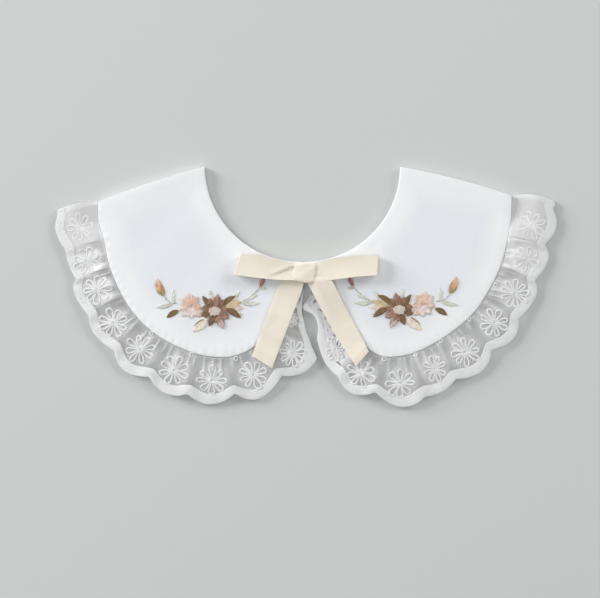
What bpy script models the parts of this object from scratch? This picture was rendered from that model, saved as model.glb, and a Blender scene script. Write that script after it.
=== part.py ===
"""Embroidered linen collar, laid flat with its back halves folded under.

The front of each half lies on top. The back half is folded under it along the shoulder, and the two
share one rounded solid with a groove at the edges. A gathered lace ruffle comes out of the outer seam,
and a ribbon bow lies over the neck ends. Sizes are in millimetres and become metres in each mesh.
+X is the right of the collar as seen from above, +Y runs up to the shoulders, and the table is z = 0.
"""

from math import cos, exp, hypot, pi, radians, sin, sqrt

import bmesh
import bpy
from mathutils import Vector
from mathutils.bvhtree import BVHTree

MM = 0.001
GAP = 0.3
# Middle of the finished outline, which is put at the origin
OUTLINE_MIDDLE = (0.08, -0.23)

# Neckline, an oval round the neck, and where each half ends at the centre front
NECK_MIDDLE = (-2.5, 75.0)
NECK_RADII = (60.5, 59.1)
NECK_END_ANGLE = 0.8

# Cloth of the two halves: one turned layer on top, and the folded back half under it
HALF_THICK = 3.3
LIP_UNDER = 1.7
CROWN = 0.5
FOLD_ROLL = 0.7
FOLD_ROLL_REACH = 9.0
ROLL_ANGLES = (20, 45, 70)
BOW_FADES_OVER = 14.0
LIP_DEPTH = 5.0
NECK_STEP = 1.0
LIP_GROWS_OVER = 12.0
HALF_ROWS = 30
ROW_CROWDING = 1.15
SLIM_WIDTH = 14.0
# Share of the seam that runs evenly with the neckline, so that the front end tapers squarely
END_EVENNESS = 0.43

# Lace: net wall, its solid border, and the gathers
NET_WALL = 1.0
BORDER_WALL = 1.6
BORDER_START = 0.78
TUCK = 3.0
TUCK_STARTS = 9.0
TUCK_GROWS_OVER = 14.0
NECK_TUCK = 1.4
SEAM_TOP = 1.4
SEAM_CLEAR = 0.8
TABLE_CLEAR = 0.3
PUFF = 0.9
GATHER_HEIGHT = 0.45
GATHERS_PER_SCALLOP = 2
COLUMN_PITCH = 2.6
DOUBLED_LENGTH = 34.0
DOUBLED_EXTRA = 1.2

# Ribbon
RIBBON_WALL = 1.0
KNOT_BOTTOM = 5.6
KNOT_HEIGHT = 4.3

# Outer seam of each half from the shoulder fold round to the neck end: x, y
LEFT_SEAM = (
    (-129.3, 53.2), (-128.9, 42.5), (-125.7, 29.0), (-121.6, 12.0), (-115.5, -2.5), (-108.0, -14.6),
    (-98.7, -24.7), (-87.2, -32.9), (-73.5, -39.2), (-62.0, -42.4), (-50.5, -43.2), (-41.4, -41.3),
    (-33.4, -37.2), (-26.0, -30.5), (-19.8, -20.5), (-14.6, -8.2), (-10.0, 3.5), (-5.0, 12.0),
)
RIGHT_SEAM = (
    (127.4, 57.2), (126.8, 42.5), (124.5, 29.5), (120.5, 14.0), (113.6, -0.5), (104.5, -14.6),
    (92.0, -26.0), (78.3, -35.0), (65.7, -40.7), (55.4, -42.8), (46.2, -42.3), (38.0, -37.6),
    (31.2, -30.3), (25.2, -21.0), (19.3, -10.6), (13.3, 0.2), (7.0, 8.8), (0.6, 13.0),
)

# Scallops from the shoulder fold to the neck. Each row starts at a valley of the edge and has the
# scallop's farthest point, with the height of the lace's top at both: valley x, y, z, tip x, y, z
LEFT_SCALLOPS = (
    (-155.3, 47.6, 3.0, -154.4, 45.3, 3.0),
    (-152.6, 42.8, 3.3, -155.9, 34.2, 3.0),
    (-149.7, 23.7, 4.4, -147.9, 14.7, 2.4),
    (-142.9, 5.1, 4.2, -145.0, -2.9, 2.5),
    (-135.2, -17.5, 4.8, -132.0, -29.4, 2.3),
    (-119.4, -38.9, 4.4, -114.1, -52.0, 2.2),
    (-97.7, -55.4, 5.2, -88.0, -66.3, 2.5),
    (-73.8, -66.1, 5.6, -59.3, -73.5, 2.2),
    (-44.3, -65.7, 5.4, -28.8, -70.2, 2.4),
    (-15.2, -54.6, 4.6, -2.0, -53.6, 2.8),
    (6.7, -43.8, 3.4, 2.5, -34.3, 2.6),
    (-0.6, -25.6, 2.7, -1.5, -20.6, 2.4),
    (-3.3, -15.1, 2.4, -2.4, -8.5, 2.1),
)
LEFT_LAST_VALLEY = (-1.5, -0.3, 1.8)
RIGHT_SCALLOPS = (
    (154.3, 53.3, 3.0, 154.1, 50.8, 3.0),
    (152.8, 48.8, 3.3, 155.9, 37.9, 3.2),
    (147.9, 26.8, 4.4, 150.8, 17.0, 2.4),
    (141.4, 4.2, 4.3, 143.4, -5.2, 2.4),
    (131.6, -19.4, 4.8, 129.4, -32.0, 2.2),
    (115.0, -38.6, 4.9, 109.9, -52.4, 2.3),
    (92.4, -56.9, 4.6, 84.9, -64.6, 2.6),
    (73.8, -67.6, 4.8, 59.2, -75.4, 2.2),
    (42.5, -64.9, 5.6, 27.8, -66.6, 2.4),
    (19.1, -54.7, 4.6, 11.2, -46.9, 2.6),
    (6.2, -31.2, 3.0, 7.6, -23.1, 2.5),
    (3.6, -15.6, 2.4, -0.4, -13.2, 2.2),
    (1.9, -10.0, 2.2, 1.9, -5.0, 2.0),
)
RIGHT_LAST_VALLEY = (2.1, -0.6, 1.8)

# How far the folded edges bow out past a straight line: cloth, lace
LEFT_FOLD_BOW = (1.3, 1.5)
RIGHT_FOLD_BOW = (1.4, 2.3)

# Ribbon stretches, a row for each section: x, y of one side, then x, y of the other
LEFT_TAIL = (
    (-15.2, 8.6, -1.3, 4.2), (-17.4, 1.5, -3.4, -3.4), (-22.4, -11.9, -8.6, -16.8),
    (-27.6, -25.6, -14.2, -31.4), (-33.9, -42.2, -21.3, -49.8),
)
RIGHT_TAIL = (
    (0.0, 4.2, 13.2, 9.6), (4.0, -3.8, 16.6, 3.0), (11.2, -17.0, 23.4, -10.6),
    (18.6, -30.2, 30.8, -24.2), (30.6, -48.6, 38.6, -39.4),
)
LEFT_LOOP = (
    (-10.6, 5.2, -10.6, 15.4), (-18.0, 4.9, -17.5, 17.2), (-30.0, 6.0, -28.0, 20.0),
    (-45.0, 8.1, -41.0, 20.5),
)
RIGHT_LOOP = (
    (6.2, 4.4, 6.2, 15.2), (14.5, 4.7, 13.6, 17.6), (29.0, 6.5, 28.0, 19.6), (43.9, 7.7, 44.5, 19.8),
)
# Height of a loop's under side and top at those sections
LOOP_UNDER = (5.5, 5.2, 4.9, 4.9)
LOOP_TOP = (8.3, 8.9, 9.6, 9.2)
# The knot is a band wrapped round: x, y of its lower edge, then of its upper edge
KNOT = ((-10.2, 4.7, 15.4), (-5.5, 3.5, 15.9), (-0.5, 2.7, 15.9), (5.8, 2.9, 15.2))


def clear_scene():
    """Remove whatever the scene holds."""
    for item in list(bpy.data.objects):
        bpy.data.objects.remove(item)


def clamp(value, low=0.0, high=1.0):
    """Keep a value between two limits."""
    return max(low, min(high, value))


def smoothstep(value):
    """Ease from 0 to 1."""
    value = clamp(value)
    return value * value * (3 - 2 * value)


def mix(start, end, share):
    """Blend two points or two numbers."""
    if isinstance(start, (int, float)):
        return start + (end - start) * share
    return tuple(a + (b - a) * share for a, b in zip(start, end))


class Curve:
    """A smooth curve through a few points, read by its length."""

    STEPS = 16

    def __init__(self, points):
        self.dense = []
        last = len(points) - 1
        for index in range(last):
            corners = [points[clamp(index + shift, 0, last)] for shift in (-1, 0, 1, 2)]
            for step in range(self.STEPS):
                self.dense.append(self.catmull(corners, step / self.STEPS))
        self.dense.append(tuple(points[-1]))
        self.reach = [0.0]
        for before, after in zip(self.dense, self.dense[1:]):
            self.reach.append(self.reach[-1] + sqrt(sum((b - a) ** 2 for a, b in zip(before, after))))
        self.length = self.reach[-1]

    @staticmethod
    def catmull(corners, share):
        """Point of a Catmull-Rom span, which starts at the second corner."""
        found = []
        for a, b, c, d in zip(*corners):
            found.append(0.5 * (2 * b + (c - a) * share + (2 * a - 5 * b + 4 * c - d) * share ** 2
                                + (3 * b - a - 3 * c + d) * share ** 3))
        return tuple(found)

    def at(self, distance):
        """Point at a distance from the start."""
        distance = clamp(distance, 0.0, self.length)
        for index in range(len(self.dense) - 1):
            if distance <= self.reach[index + 1]:
                span = self.reach[index + 1] - self.reach[index]
                return mix(self.dense[index], self.dense[index + 1], (distance - self.reach[index]) / span)
        return self.dense[-1]

    def along(self, distance):
        """Unit direction of travel at a distance."""
        before = self.at(distance - 0.8)
        after = self.at(distance + 0.8)
        size = hypot(after[0] - before[0], after[1] - before[1])
        return ((after[0] - before[0]) / size, (after[1] - before[1]) / size)

    def nearest(self, x, y):
        """Distance along the curve of the point nearest to x, y."""
        gaps = [hypot(point[0] - x, point[1] - y) for point in self.dense]
        return self.reach[gaps.index(min(gaps))]


class Side:
    """One half of the collar: its neckline, its outer seam and its lace table."""

    def __init__(self, name, sign, seam, scallops, last_valley, fold_bow):
        self.name = name
        self.sign = sign
        self.seam = Curve(seam)
        self.scallops = scallops
        self.last_valley = last_valley
        self.fold_bow, self.lace_bow = fold_bow

    def neck(self, share):
        """Point of the neckline, from the shoulder at 0 to the centre front at 1."""
        start = pi if self.sign < 0 else 2 * pi
        angle = start - self.sign * share * (pi / 2 - radians(NECK_END_ANGLE))
        return (NECK_MIDDLE[0] + NECK_RADII[0] * cos(angle), NECK_MIDDLE[1] + NECK_RADII[1] * sin(angle))

    def fold_normal(self):
        """Unit direction out of the shoulder fold, away from the collar."""
        neck = self.neck(0)
        end = self.seam.at(0)
        size = hypot(end[0] - neck[0], end[1] - neck[1])
        return (-self.sign * (end[1] - neck[1]) / size, self.sign * (end[0] - neck[0]) / size)

    def fold_distance(self, point):
        """Distance of a point from the straight line of the shoulder fold."""
        neck = self.neck(0)
        out = self.fold_normal()
        return -((point[0] - neck[0]) * out[0] + (point[1] - neck[1]) * out[1])

    def foot(self, share):
        """Distance along the seam of the point that faces a share of the neckline."""
        left_over = 1 - share
        return self.seam.length * (1 - left_over * mix(END_EVENNESS, 1.0, left_over))

    def cloth_point(self, share, foot, across):
        """Plan point of the half: share down the neckline, foot along the seam, across between them."""
        base = mix(self.neck(share), self.seam.at(foot), across)
        out = self.fold_normal()
        bow = self.fold_bow * 4 * across * (1 - across) * exp(-foot / BOW_FADES_OVER)
        return (base[0] + out[0] * bow, base[1] + out[1] * bow)

    def outward(self, distance):
        """Unit direction out of the seam."""
        ahead = self.seam.along(distance)
        return (-self.sign * ahead[1], self.sign * ahead[0])


LEFT = Side("left", -1, LEFT_SEAM, LEFT_SCALLOPS, LEFT_LAST_VALLEY, LEFT_FOLD_BOW)
RIGHT = Side("right", 1, RIGHT_SEAM, RIGHT_SCALLOPS, RIGHT_LAST_VALLEY, RIGHT_FOLD_BOW)


def make_material(name, colour, roughness):
    """A plain cloth finish."""
    material = bpy.data.materials.new(name)
    material.use_nodes = True
    shader = material.node_tree.nodes["Principled BSDF"]
    shader.inputs["Base Color"].default_value = (*colour, 1.0)
    shader.inputs["Roughness"].default_value = roughness
    shader.inputs["Metallic"].default_value = 0.0
    return material


def make_object(name, vertices, faces, material):
    """Turn millimetre points and faces into a smooth closed object in metres."""
    work = bmesh.new()
    corners = []
    for x, y, z in vertices:
        corners.append(work.verts.new(((x - OUTLINE_MIDDLE[0]) * MM, (y - OUTLINE_MIDDLE[1]) * MM, z * MM)))
    for face in faces:
        work.faces.new([corners[index] for index in face])
    bmesh.ops.recalc_face_normals(work, faces=work.faces)
    bmesh.ops.triangulate(work, faces=work.faces)
    mesh = bpy.data.meshes.new(name)
    work.to_mesh(mesh)
    work.free()
    mesh.shade_smooth()
    mesh.set_sharp_from_angle(angle=radians(45))
    mesh.materials.append(material)
    item = bpy.data.objects.new(name, mesh)
    bpy.context.scene.collection.objects.link(item)
    return item


def loft(rings):
    """Join closed rings of equal count into one capped solid: vertices and faces."""
    count = len(rings[0])
    vertices = [point for ring in rings for point in ring]
    faces = []
    for row in range(len(rings) - 1):
        for spot in range(count):
            after = (spot + 1) % count
            faces.append((row * count + spot, row * count + after,
                          (row + 1) * count + after, (row + 1) * count + spot))
    last = (len(rings) - 1) * count
    faces.append(tuple(range(count - 1, -1, -1)))
    faces.append(tuple(last + spot for spot in range(count)))
    return vertices, faces


def sheet(top, bottom):
    """Close two grids of equal size into one solid: the first is the upper face of the wall."""
    rows = len(top)
    columns = len(top[0])
    vertices = [point for line in top for point in line] + [point for line in bottom for point in line]
    under = rows * columns
    faces = []
    for row in range(rows - 1):
        for column in range(columns - 1):
            a = row * columns + column
            b = a + 1
            c = a + columns + 1
            d = a + columns
            faces.append((a, b, c, d))
            faces.append((under + d, under + c, under + b, under + a))
    rim = [column for column in range(columns)]
    rim += [row * columns + columns - 1 for row in range(1, rows)]
    rim += [(rows - 1) * columns + column for column in range(columns - 2, -1, -1)]
    rim += [row * columns for row in range(rows - 2, 0, -1)]
    for here, after in zip(rim, rim[1:] + rim[:1]):
        faces.append((here, after, under + after, under + here))
    return vertices, faces


def cloth_top(side, point, across):
    """Height of a half's top face: a soft crown, and a rolled ridge at the fold."""
    fold = side.fold_distance(point)
    crown = CROWN * (4 * across * (1 - across)) ** 0.7
    return HALF_THICK + crown + FOLD_ROLL * exp(-(fold / FOLD_ROLL_REACH) ** 2)


def cloth_ring(side, share, foot, squeeze):
    """Section of a half from neck to seam, with the groove between its two layers."""
    start = side.cloth_point(share, foot, 0)
    end = side.cloth_point(share, foot, 1)
    width = hypot(end[0] - start[0], end[1] - start[1])
    scale = min(1.0, width / SLIM_WIDTH)
    grown = smoothstep(foot / LIP_GROWS_OVER)
    lip = LIP_DEPTH * grown * scale
    step = NECK_STEP * grown * scale
    nose = (LIP_UNDER + HALF_THICK) / 2
    section = [(0.0, None, nose), (0.4, 0.85, None), (1.5, 1.0, None)]
    for part in (0.14, 0.28, 0.42, 0.57, 0.72, 0.86):
        section.append((part * width / scale, 1.0, None))
    section += [(width / scale - 1.5, 1.0, None), (width / scale - 0.4, 0.85, None)]
    section += [(width / scale, None, nose)]
    section = [(distance * scale, lift, height) for distance, lift, height in section]
    section += [
        (width - 0.35 * scale - 0.1 * lip, None, mix(1.2, LIP_UNDER, grown)),
        (width - 0.5 * scale - lip, None, mix(0.6, LIP_UNDER, grown)),
        (width - 0.6 * scale - lip, None, 0.5),
        (width - 1.2 * scale - lip, None, 0.0),
        (1.2 * scale + step, None, 0.0),
        (0.6 * scale + step, None, 0.5),
        (0.5 * scale + step, None, mix(0.6, LIP_UNDER, grown)),
        (0.35 * scale, None, mix(1.2, LIP_UNDER, grown)),
    ]
    ring = []
    for distance, lift, height in section:
        across = distance / width
        point = side.cloth_point(share, foot, across)
        if height is None:
            top = cloth_top(side, point, across)
            height = LIP_UNDER + (top - LIP_UNDER) * lift
        middle = HALF_THICK / 2
        ring.append((point[0], point[1], middle + (height - middle) * squeeze))
    return ring


def make_half(side, material):
    """One half of the collar: front on top, back half folded under it."""
    roll = (HALF_THICK + FOLD_ROLL) / 2
    neckline = pi / 2 * (NECK_RADII[0] + NECK_RADII[1]) / 2
    rings = []
    for angle in ROLL_ANGLES:
        setback = roll * (1 - cos(radians(angle)))
        rings.append(cloth_ring(side, setback / neckline, setback, sin(radians(angle))))
    for row in range(1, HALF_ROWS + 1):
        share = (row / HALF_ROWS) ** ROW_CROWDING
        rings.append(cloth_ring(side, share, side.foot(share), 1.0))
    return make_object("panel_" + side.name, *loft(rings), material)


class LaceColumn:
    """One line of the lace, from under the lip out to the scalloped edge."""

    def __init__(self, side, foot, edge, phase):
        self.side = side
        self.foot = foot
        self.edge = edge
        self.phase = phase
        out = side.outward(foot)
        base = side.seam.at(foot)
        grown = smoothstep((foot - TUCK_STARTS) / TUCK_GROWS_OVER)
        near_neck = smoothstep((foot / side.seam.length - 0.75) / 0.1)
        self.tuck = mix(-GAP - 0.1, mix(TUCK, NECK_TUCK, near_neck), grown)
        self.inner = (base[0] - out[0] * self.tuck, base[1] - out[1] * self.tuck)
        clear = max(SEAM_CLEAR, 0.6 - self.tuck)
        self.outer = (base[0] + out[0] * clear, base[1] + out[1] * clear)
        self.doubled = 1 - smoothstep((foot - DOUBLED_LENGTH * 0.7) / (DOUBLED_LENGTH * 0.3))

    def plan(self, reach):
        """Plan point, with reach -1 under the lip, 0 just outside it and 1 at the edge."""
        if reach < 0:
            point = self.inner
        else:
            point = mix(self.outer, self.edge[:2], reach)
        out = self.side.fold_normal()
        bow = self.side.lace_bow * 4 * clamp(reach) * (1 - clamp(reach)) * exp(-self.foot / 6.0)
        return (point[0] + out[0] * bow, point[1] + out[1] * bow)

    def top(self, reach):
        """Height of the lace's upper face."""
        if reach <= 0:
            return SEAM_TOP
        rise = sin(pi / 2 * reach) ** 1.1
        puff = PUFF * sin(pi * reach) ** 2
        wave = GATHER_HEIGHT * cos(2 * pi * self.phase * GATHERS_PER_SCALLOP)
        wave *= smoothstep(reach / 0.3) * (1 - 0.6 * reach)
        raised = self.doubled * DOUBLED_EXTRA * smoothstep(reach / 0.2) * (1 - smoothstep((reach - 0.5) / 0.5))
        return SEAM_TOP + (self.edge[2] - SEAM_TOP) * rise + puff + wave + raised

    def under(self, reach):
        """Height of the lace's lower face: net, border, or two layers near the shoulder."""
        top = self.top(reach)
        if reach <= 0:
            return SEAM_TOP - NET_WALL
        wall = mix(NET_WALL, BORDER_WALL, smoothstep((reach - BORDER_START) / 0.04))
        layered = smoothstep(reach / 0.25) * (1 - smoothstep((reach - 0.86) / 0.08))
        wall += self.doubled * DOUBLED_EXTRA * layered
        return max(top - wall, TABLE_CLEAR)


def scallop_edge(row, following, share):
    """Point of the scalloped edge between two valleys: x, y, top height."""
    start = row[:3]
    tip = row[3:]
    middle = mix(start, following, 0.5)
    swell = sin(pi * share) ** 0.7
    base = mix(start, following, share)
    x = base[0] + (tip[0] - middle[0]) * swell
    y = base[1] + (tip[1] - middle[1]) * swell
    z = mix(base[2], tip[2], sin(pi * share))
    return (x, y, z)


def lace_columns(side):
    """Columns of the ruffle in order from the shoulder fold to the neck."""
    rows = list(side.scallops)
    valleys = [row[:3] for row in rows] + [side.last_valley]
    feet = [0.0]
    for valley in valleys[1:]:
        feet.append(max(side.seam.nearest(valley[0], valley[1]), feet[-1] + 1.2))
    feet[1] = 2.5
    columns = []
    for index, row in enumerate(rows):
        following = valleys[index + 1]
        span = hypot(following[0] - row[0], following[1] - row[1])
        steps = max(3, round(span / COLUMN_PITCH))
        for step in range(steps):
            share = step / steps
            foot = mix(feet[index], feet[index + 1], share)
            columns.append(LaceColumn(side, foot, scallop_edge(row, following, share), index + share))
    columns.append(LaceColumn(side, feet[-1], side.last_valley, len(rows)))
    return columns


def make_lace(side, material):
    """The gathered ruffle of one half, doubled at the shoulder where it folds under."""
    reaches = (-1, 0, 0.12, 0.28, 0.46, 0.64, BORDER_START, BORDER_START + 0.05, 0.93, 1)
    tops = []
    unders = []
    for number, column in enumerate(lace_columns(side)):
        squeeze = (0.4, 0.85)[number] if number < 2 else 1.0
        top_line = []
        under_line = []
        for reach in reaches:
            x, y = column.plan(reach)
            high = column.top(reach)
            low = column.under(reach)
            middle = (high + low) / 2
            half = (high - low) / 2 * squeeze
            if reach == 1:
                half *= 0.6
            top_line.append((x, y, middle + half))
            under_line.append((x, y, middle - half))
        tops.append(top_line)
        unders.append(under_line)
    return make_object("lace_" + side.name, *sheet(tops, unders), material)


class Rest:
    """The faces that a ribbon lies on, read from above."""

    def __init__(self, items):
        self.trees = []
        for item in items:
            work = bmesh.new()
            work.from_mesh(item.data)
            self.trees.append(BVHTree.FromBMesh(work))
            work.free()

    def height(self, x, y, reach=2.0):
        """Highest face within a short reach of x, y, in millimetres."""
        best = 0.0
        for shift_x in (-reach, 0, reach):
            for shift_y in (-reach, 0, reach):
                start = Vector(((x + shift_x - OUTLINE_MIDDLE[0]) * MM, (y + shift_y - OUTLINE_MIDDLE[1]) * MM, 0.05))
                for tree in self.trees:
                    hit = tree.ray_cast(start, Vector((0, 0, -1)))[0]
                    if hit is not None:
                        best = max(best, hit.z / MM)
        return best


def ribbon_lines(table, rows):
    """Sections of a ribbon stretch, evenly spaced: the two sides of each."""
    curve = Curve(table)
    return [curve.at(curve.length * row / rows) for row in range(rows + 1)]


def make_tail(name, table, rest, material):
    """A ribbon tail that lies on the cloth and lace under it."""
    across = (0.0, 0.33, 0.67, 1.0)
    tops = []
    unders = []
    for ax, ay, bx, by in ribbon_lines(table, 14):
        line = [mix((ax, ay), (bx, by), share) for share in across]
        floor = [rest.height(x, y) for x, y in line]
        shared = max(floor)
        under = [(x, y, mix(height, shared, 0.6) + GAP + 0.05) for (x, y), height in zip(line, floor)]
        unders.append(under)
        tops.append([(x, y, z + RIBBON_WALL) for x, y, z in under])
    return make_object(name, *sheet(tops, unders), material)


def loop_profile(share_steps=6):
    """Outline of a flattened loop as (share along, height share) pairs, root to nose and back."""
    outline = [(0.0, 0.0)]
    for step in range(1, share_steps):
        outline.append((0.94 * step / share_steps, 0.0))
    for angle in (-60, -30, 0, 30, 60):
        outline.append((0.955 + 0.045 * cos(radians(angle)), 0.5 + 0.5 * sin(radians(angle))))
    for step in range(share_steps - 1, 0, -1):
        outline.append((0.94 * step / share_steps, 1.0))
    outline.append((0.0, 1.0))
    return outline


def make_loop(name, table, material):
    """A flattened ribbon loop: a closed band, open from side to side."""
    sections = Curve([row + (under, top) for row, under, top in zip(table, LOOP_UNDER, LOOP_TOP)])
    stations = (0.0, 0.25, 0.5, 0.75, 1.0)
    outline = loop_profile()
    outer = []
    inner = []
    for station in stations:
        outer_line = []
        inner_line = []
        for share, lift in outline:
            ax, ay, bx, by, under, top = sections.at(sections.length * share)
            x, y = mix((ax, ay), (bx, by), station)
            outer_line.append((x, y, mix(under, top, lift)))
            root = RIBBON_WALL / sections.length
            inward = clamp(share, root, 1 - root)
            ax, ay, bx, by, under, top = sections.at(sections.length * inward)
            x, y = mix((ax, ay), (bx, by), station)
            inner_line.append((x, y, mix(under + RIBBON_WALL, top - RIBBON_WALL, lift)))
        outer.append(outer_line)
        inner.append(inner_line)
    count = len(outline)
    vertices = [point for line in outer + inner for point in line]
    offset = len(stations) * count
    faces = []
    for station in range(len(stations) - 1):
        for spot in range(count):
            after = (spot + 1) % count
            a = station * count + spot
            b = station * count + after
            faces.append((a, b, b + count, a + count))
            faces.append((offset + a, offset + a + count, offset + b + count, offset + b))
    for station in (0, len(stations) - 1):
        for spot in range(count):
            a = station * count + spot
            b = station * count + (spot + 1) % count
            faces.append((a, b, offset + b, offset + a))
    return make_object(name, vertices, faces, material)


def make_knot(name, table, material):
    """The knot: a ribbon band wrapped over the roots of the loops."""
    curve = Curve(table)
    rings = []
    for row in range(8):
        x, low, high = curve.at(curve.length * row / 7)
        ends = 0.9 if row in (0, 7) else 1.0
        middle = (low + high) / 2
        half = (high - low) / 2 * (1 - 0.02 * (1 - ends))
        centre = KNOT_BOTTOM + KNOT_HEIGHT / 2
        tall = KNOT_HEIGHT / 2 * ends
        ring = []
        for step in range(20):
            angle = 2 * pi * step / 20
            y = abs(cos(angle)) ** 0.45 * (1 if cos(angle) >= 0 else -1)
            z = abs(sin(angle)) ** 0.75 * (1 if sin(angle) >= 0 else -1)
            ring.append((x, middle + half * y, centre + tall * z))
        rings.append(ring)
    return make_object(name, *loft(rings), material)


def build():
    """Make every piece of the collar."""
    clear_scene()
    cloth = make_material("white_cloth", (0.87, 0.88, 0.89), 0.85)
    net = make_material("white_lace", (0.83, 0.83, 0.82), 0.9)
    ribbon = make_material("cream_ribbon", (0.84, 0.77, 0.65), 0.7)
    pieces = []
    for side in (LEFT, RIGHT):
        pieces.append(make_half(side, cloth))
        pieces.append(make_lace(side, net))
    rest = Rest(pieces)
    pieces.append(make_tail("bow_tail_left", LEFT_TAIL, rest, ribbon))
    pieces.append(make_tail("bow_tail_right", RIGHT_TAIL, rest, ribbon))
    pieces.append(make_loop("bow_loop_left", LEFT_LOOP, ribbon))
    pieces.append(make_loop("bow_loop_right", RIGHT_LOOP, ribbon))
    pieces.append(make_knot("bow_knot", KNOT, ribbon))
    collar = bpy.data.objects.new("collar", None)
    bpy.context.scene.collection.objects.link(collar)
    for piece in pieces:
        piece.parent = collar


build()
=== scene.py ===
"""Looks of an embroidered linen collar that lies flat with its back halves folded under.

Plans are in millimetres, with +X to the right, +Y up to the shoulders and the table at z = 0. A mesh
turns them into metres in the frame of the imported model. Each class makes one sub-assembly: the cloth
halves, the lace ruffles, the ribbon bow, the embroidered sprays, and the studio round them.
"""

from __future__ import annotations

import logging
import math
import random
from dataclasses import dataclass, field
from enum import Enum
from functools import lru_cache
from typing import Sequence

import bmesh
import bpy
import numpy as np
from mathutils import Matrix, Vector
from mathutils.bvhtree import BVHTree

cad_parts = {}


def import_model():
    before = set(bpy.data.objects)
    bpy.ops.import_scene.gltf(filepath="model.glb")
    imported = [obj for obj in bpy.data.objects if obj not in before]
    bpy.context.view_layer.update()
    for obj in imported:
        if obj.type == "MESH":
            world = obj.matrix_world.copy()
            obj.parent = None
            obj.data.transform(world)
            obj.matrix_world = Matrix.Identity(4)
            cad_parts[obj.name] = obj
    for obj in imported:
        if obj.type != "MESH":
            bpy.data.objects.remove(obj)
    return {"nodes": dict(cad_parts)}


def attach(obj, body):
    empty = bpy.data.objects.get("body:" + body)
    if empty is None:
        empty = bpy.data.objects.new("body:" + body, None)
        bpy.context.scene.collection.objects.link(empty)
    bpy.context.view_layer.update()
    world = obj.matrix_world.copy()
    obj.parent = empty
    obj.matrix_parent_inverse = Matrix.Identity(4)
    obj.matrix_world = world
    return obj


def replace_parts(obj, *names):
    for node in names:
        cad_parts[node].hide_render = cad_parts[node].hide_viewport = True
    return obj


LOG = logging.getLogger("collar")

Array = np.ndarray
Number = np.ndarray | float
Row = Sequence[float]
Table = Sequence[Row]
Plan = tuple[float, float]
Colour = tuple[float, float, float]
Scale = tuple[float, float, float]
Socket = bpy.types.NodeSocket
Material = bpy.types.Material
Piece = bpy.types.Object

MM = 0.001
BODY = "root"
# Middle of the finished outline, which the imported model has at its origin
OUTLINE_MIDDLE = (0.08, -0.23)

# Neckline, an oval round the neck, and where each half ends at the centre front
NECK_MIDDLE = (-2.5, 75.0)
NECK_RADII = (60.5, 59.1)
NECK_END_ANGLE = 0.8

# Outer seam of each half from the shoulder fold round to the neck end: x, y
LEFT_SEAM = (
    (-129.3, 53.2), (-128.9, 42.5), (-125.7, 29.0), (-121.6, 12.0), (-115.5, -2.5), (-108.0, -14.6),
    (-98.7, -24.7), (-87.2, -32.9), (-73.5, -39.2), (-62.0, -42.4), (-50.5, -43.2), (-41.4, -41.3),
    (-33.4, -37.2), (-26.0, -30.5), (-19.8, -20.5), (-14.6, -8.2), (-10.0, 3.5), (-5.0, 12.0),
)
RIGHT_SEAM = (
    (127.4, 57.2), (126.8, 42.5), (124.5, 29.5), (120.5, 14.0), (113.6, -0.5), (104.5, -14.6),
    (92.0, -26.0), (78.3, -35.0), (65.7, -40.7), (55.4, -42.8), (46.2, -42.3), (38.0, -37.6),
    (31.2, -30.3), (25.2, -21.0), (19.3, -10.6), (13.3, 0.2), (7.0, 8.8), (0.6, 13.0),
)

# Scallops from the shoulder fold to the neck: valley x, y, z, then farthest point x, y, z
LEFT_SCALLOPS = (
    (-155.3, 47.6, 3.0, -154.4, 45.3, 3.0),
    (-155.0, 42.8, 3.1, -155.9, 34.2, 3.0),
    (-149.7, 23.7, 4.4, -147.9, 14.7, 2.4),
    (-142.9, 5.1, 4.2, -145.0, -2.9, 2.5),
    (-135.2, -17.5, 4.8, -132.0, -29.4, 2.3),
    (-119.4, -38.9, 4.4, -114.1, -52.0, 2.2),
    (-97.7, -55.4, 5.2, -88.0, -66.3, 2.5),
    (-73.8, -66.1, 5.6, -59.3, -73.5, 2.2),
    (-44.3, -65.7, 5.4, -28.8, -70.2, 2.4),
    (-15.2, -54.6, 4.6, -2.0, -53.6, 2.8),
    (6.7, -43.8, 3.4, 2.5, -34.3, 2.6),
    (-0.6, -25.6, 2.7, -1.5, -20.6, 2.4),
    (-3.3, -15.1, 2.4, -2.4, -8.5, 2.1),
)
LEFT_LAST_VALLEY = (-1.5, -0.3, 1.8)
RIGHT_SCALLOPS = (
    (154.3, 53.3, 3.0, 154.1, 50.8, 3.0),
    (152.8, 48.8, 3.3, 155.9, 37.9, 3.2),
    (147.9, 26.8, 4.4, 150.8, 17.0, 2.4),
    (141.4, 4.2, 4.3, 143.4, -5.2, 2.4),
    (131.6, -19.4, 4.8, 129.4, -32.0, 2.2),
    (115.0, -38.6, 4.9, 109.9, -52.4, 2.3),
    (92.4, -56.9, 4.6, 84.9, -64.6, 2.6),
    (73.8, -67.6, 4.8, 59.2, -75.4, 2.2),
    (42.5, -64.9, 5.6, 27.8, -66.6, 2.4),
    (19.1, -54.7, 4.6, 11.2, -46.9, 2.6),
    (6.2, -31.2, 3.0, 7.6, -23.1, 2.5),
    (3.9, -16.0, 2.8, -4.3, -12.6, 3.2),
    (1.2, -7.8, 2.4, 1.9, -4.6, 2.0),
)
RIGHT_LAST_VALLEY = (2.1, -0.6, 1.8)

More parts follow.
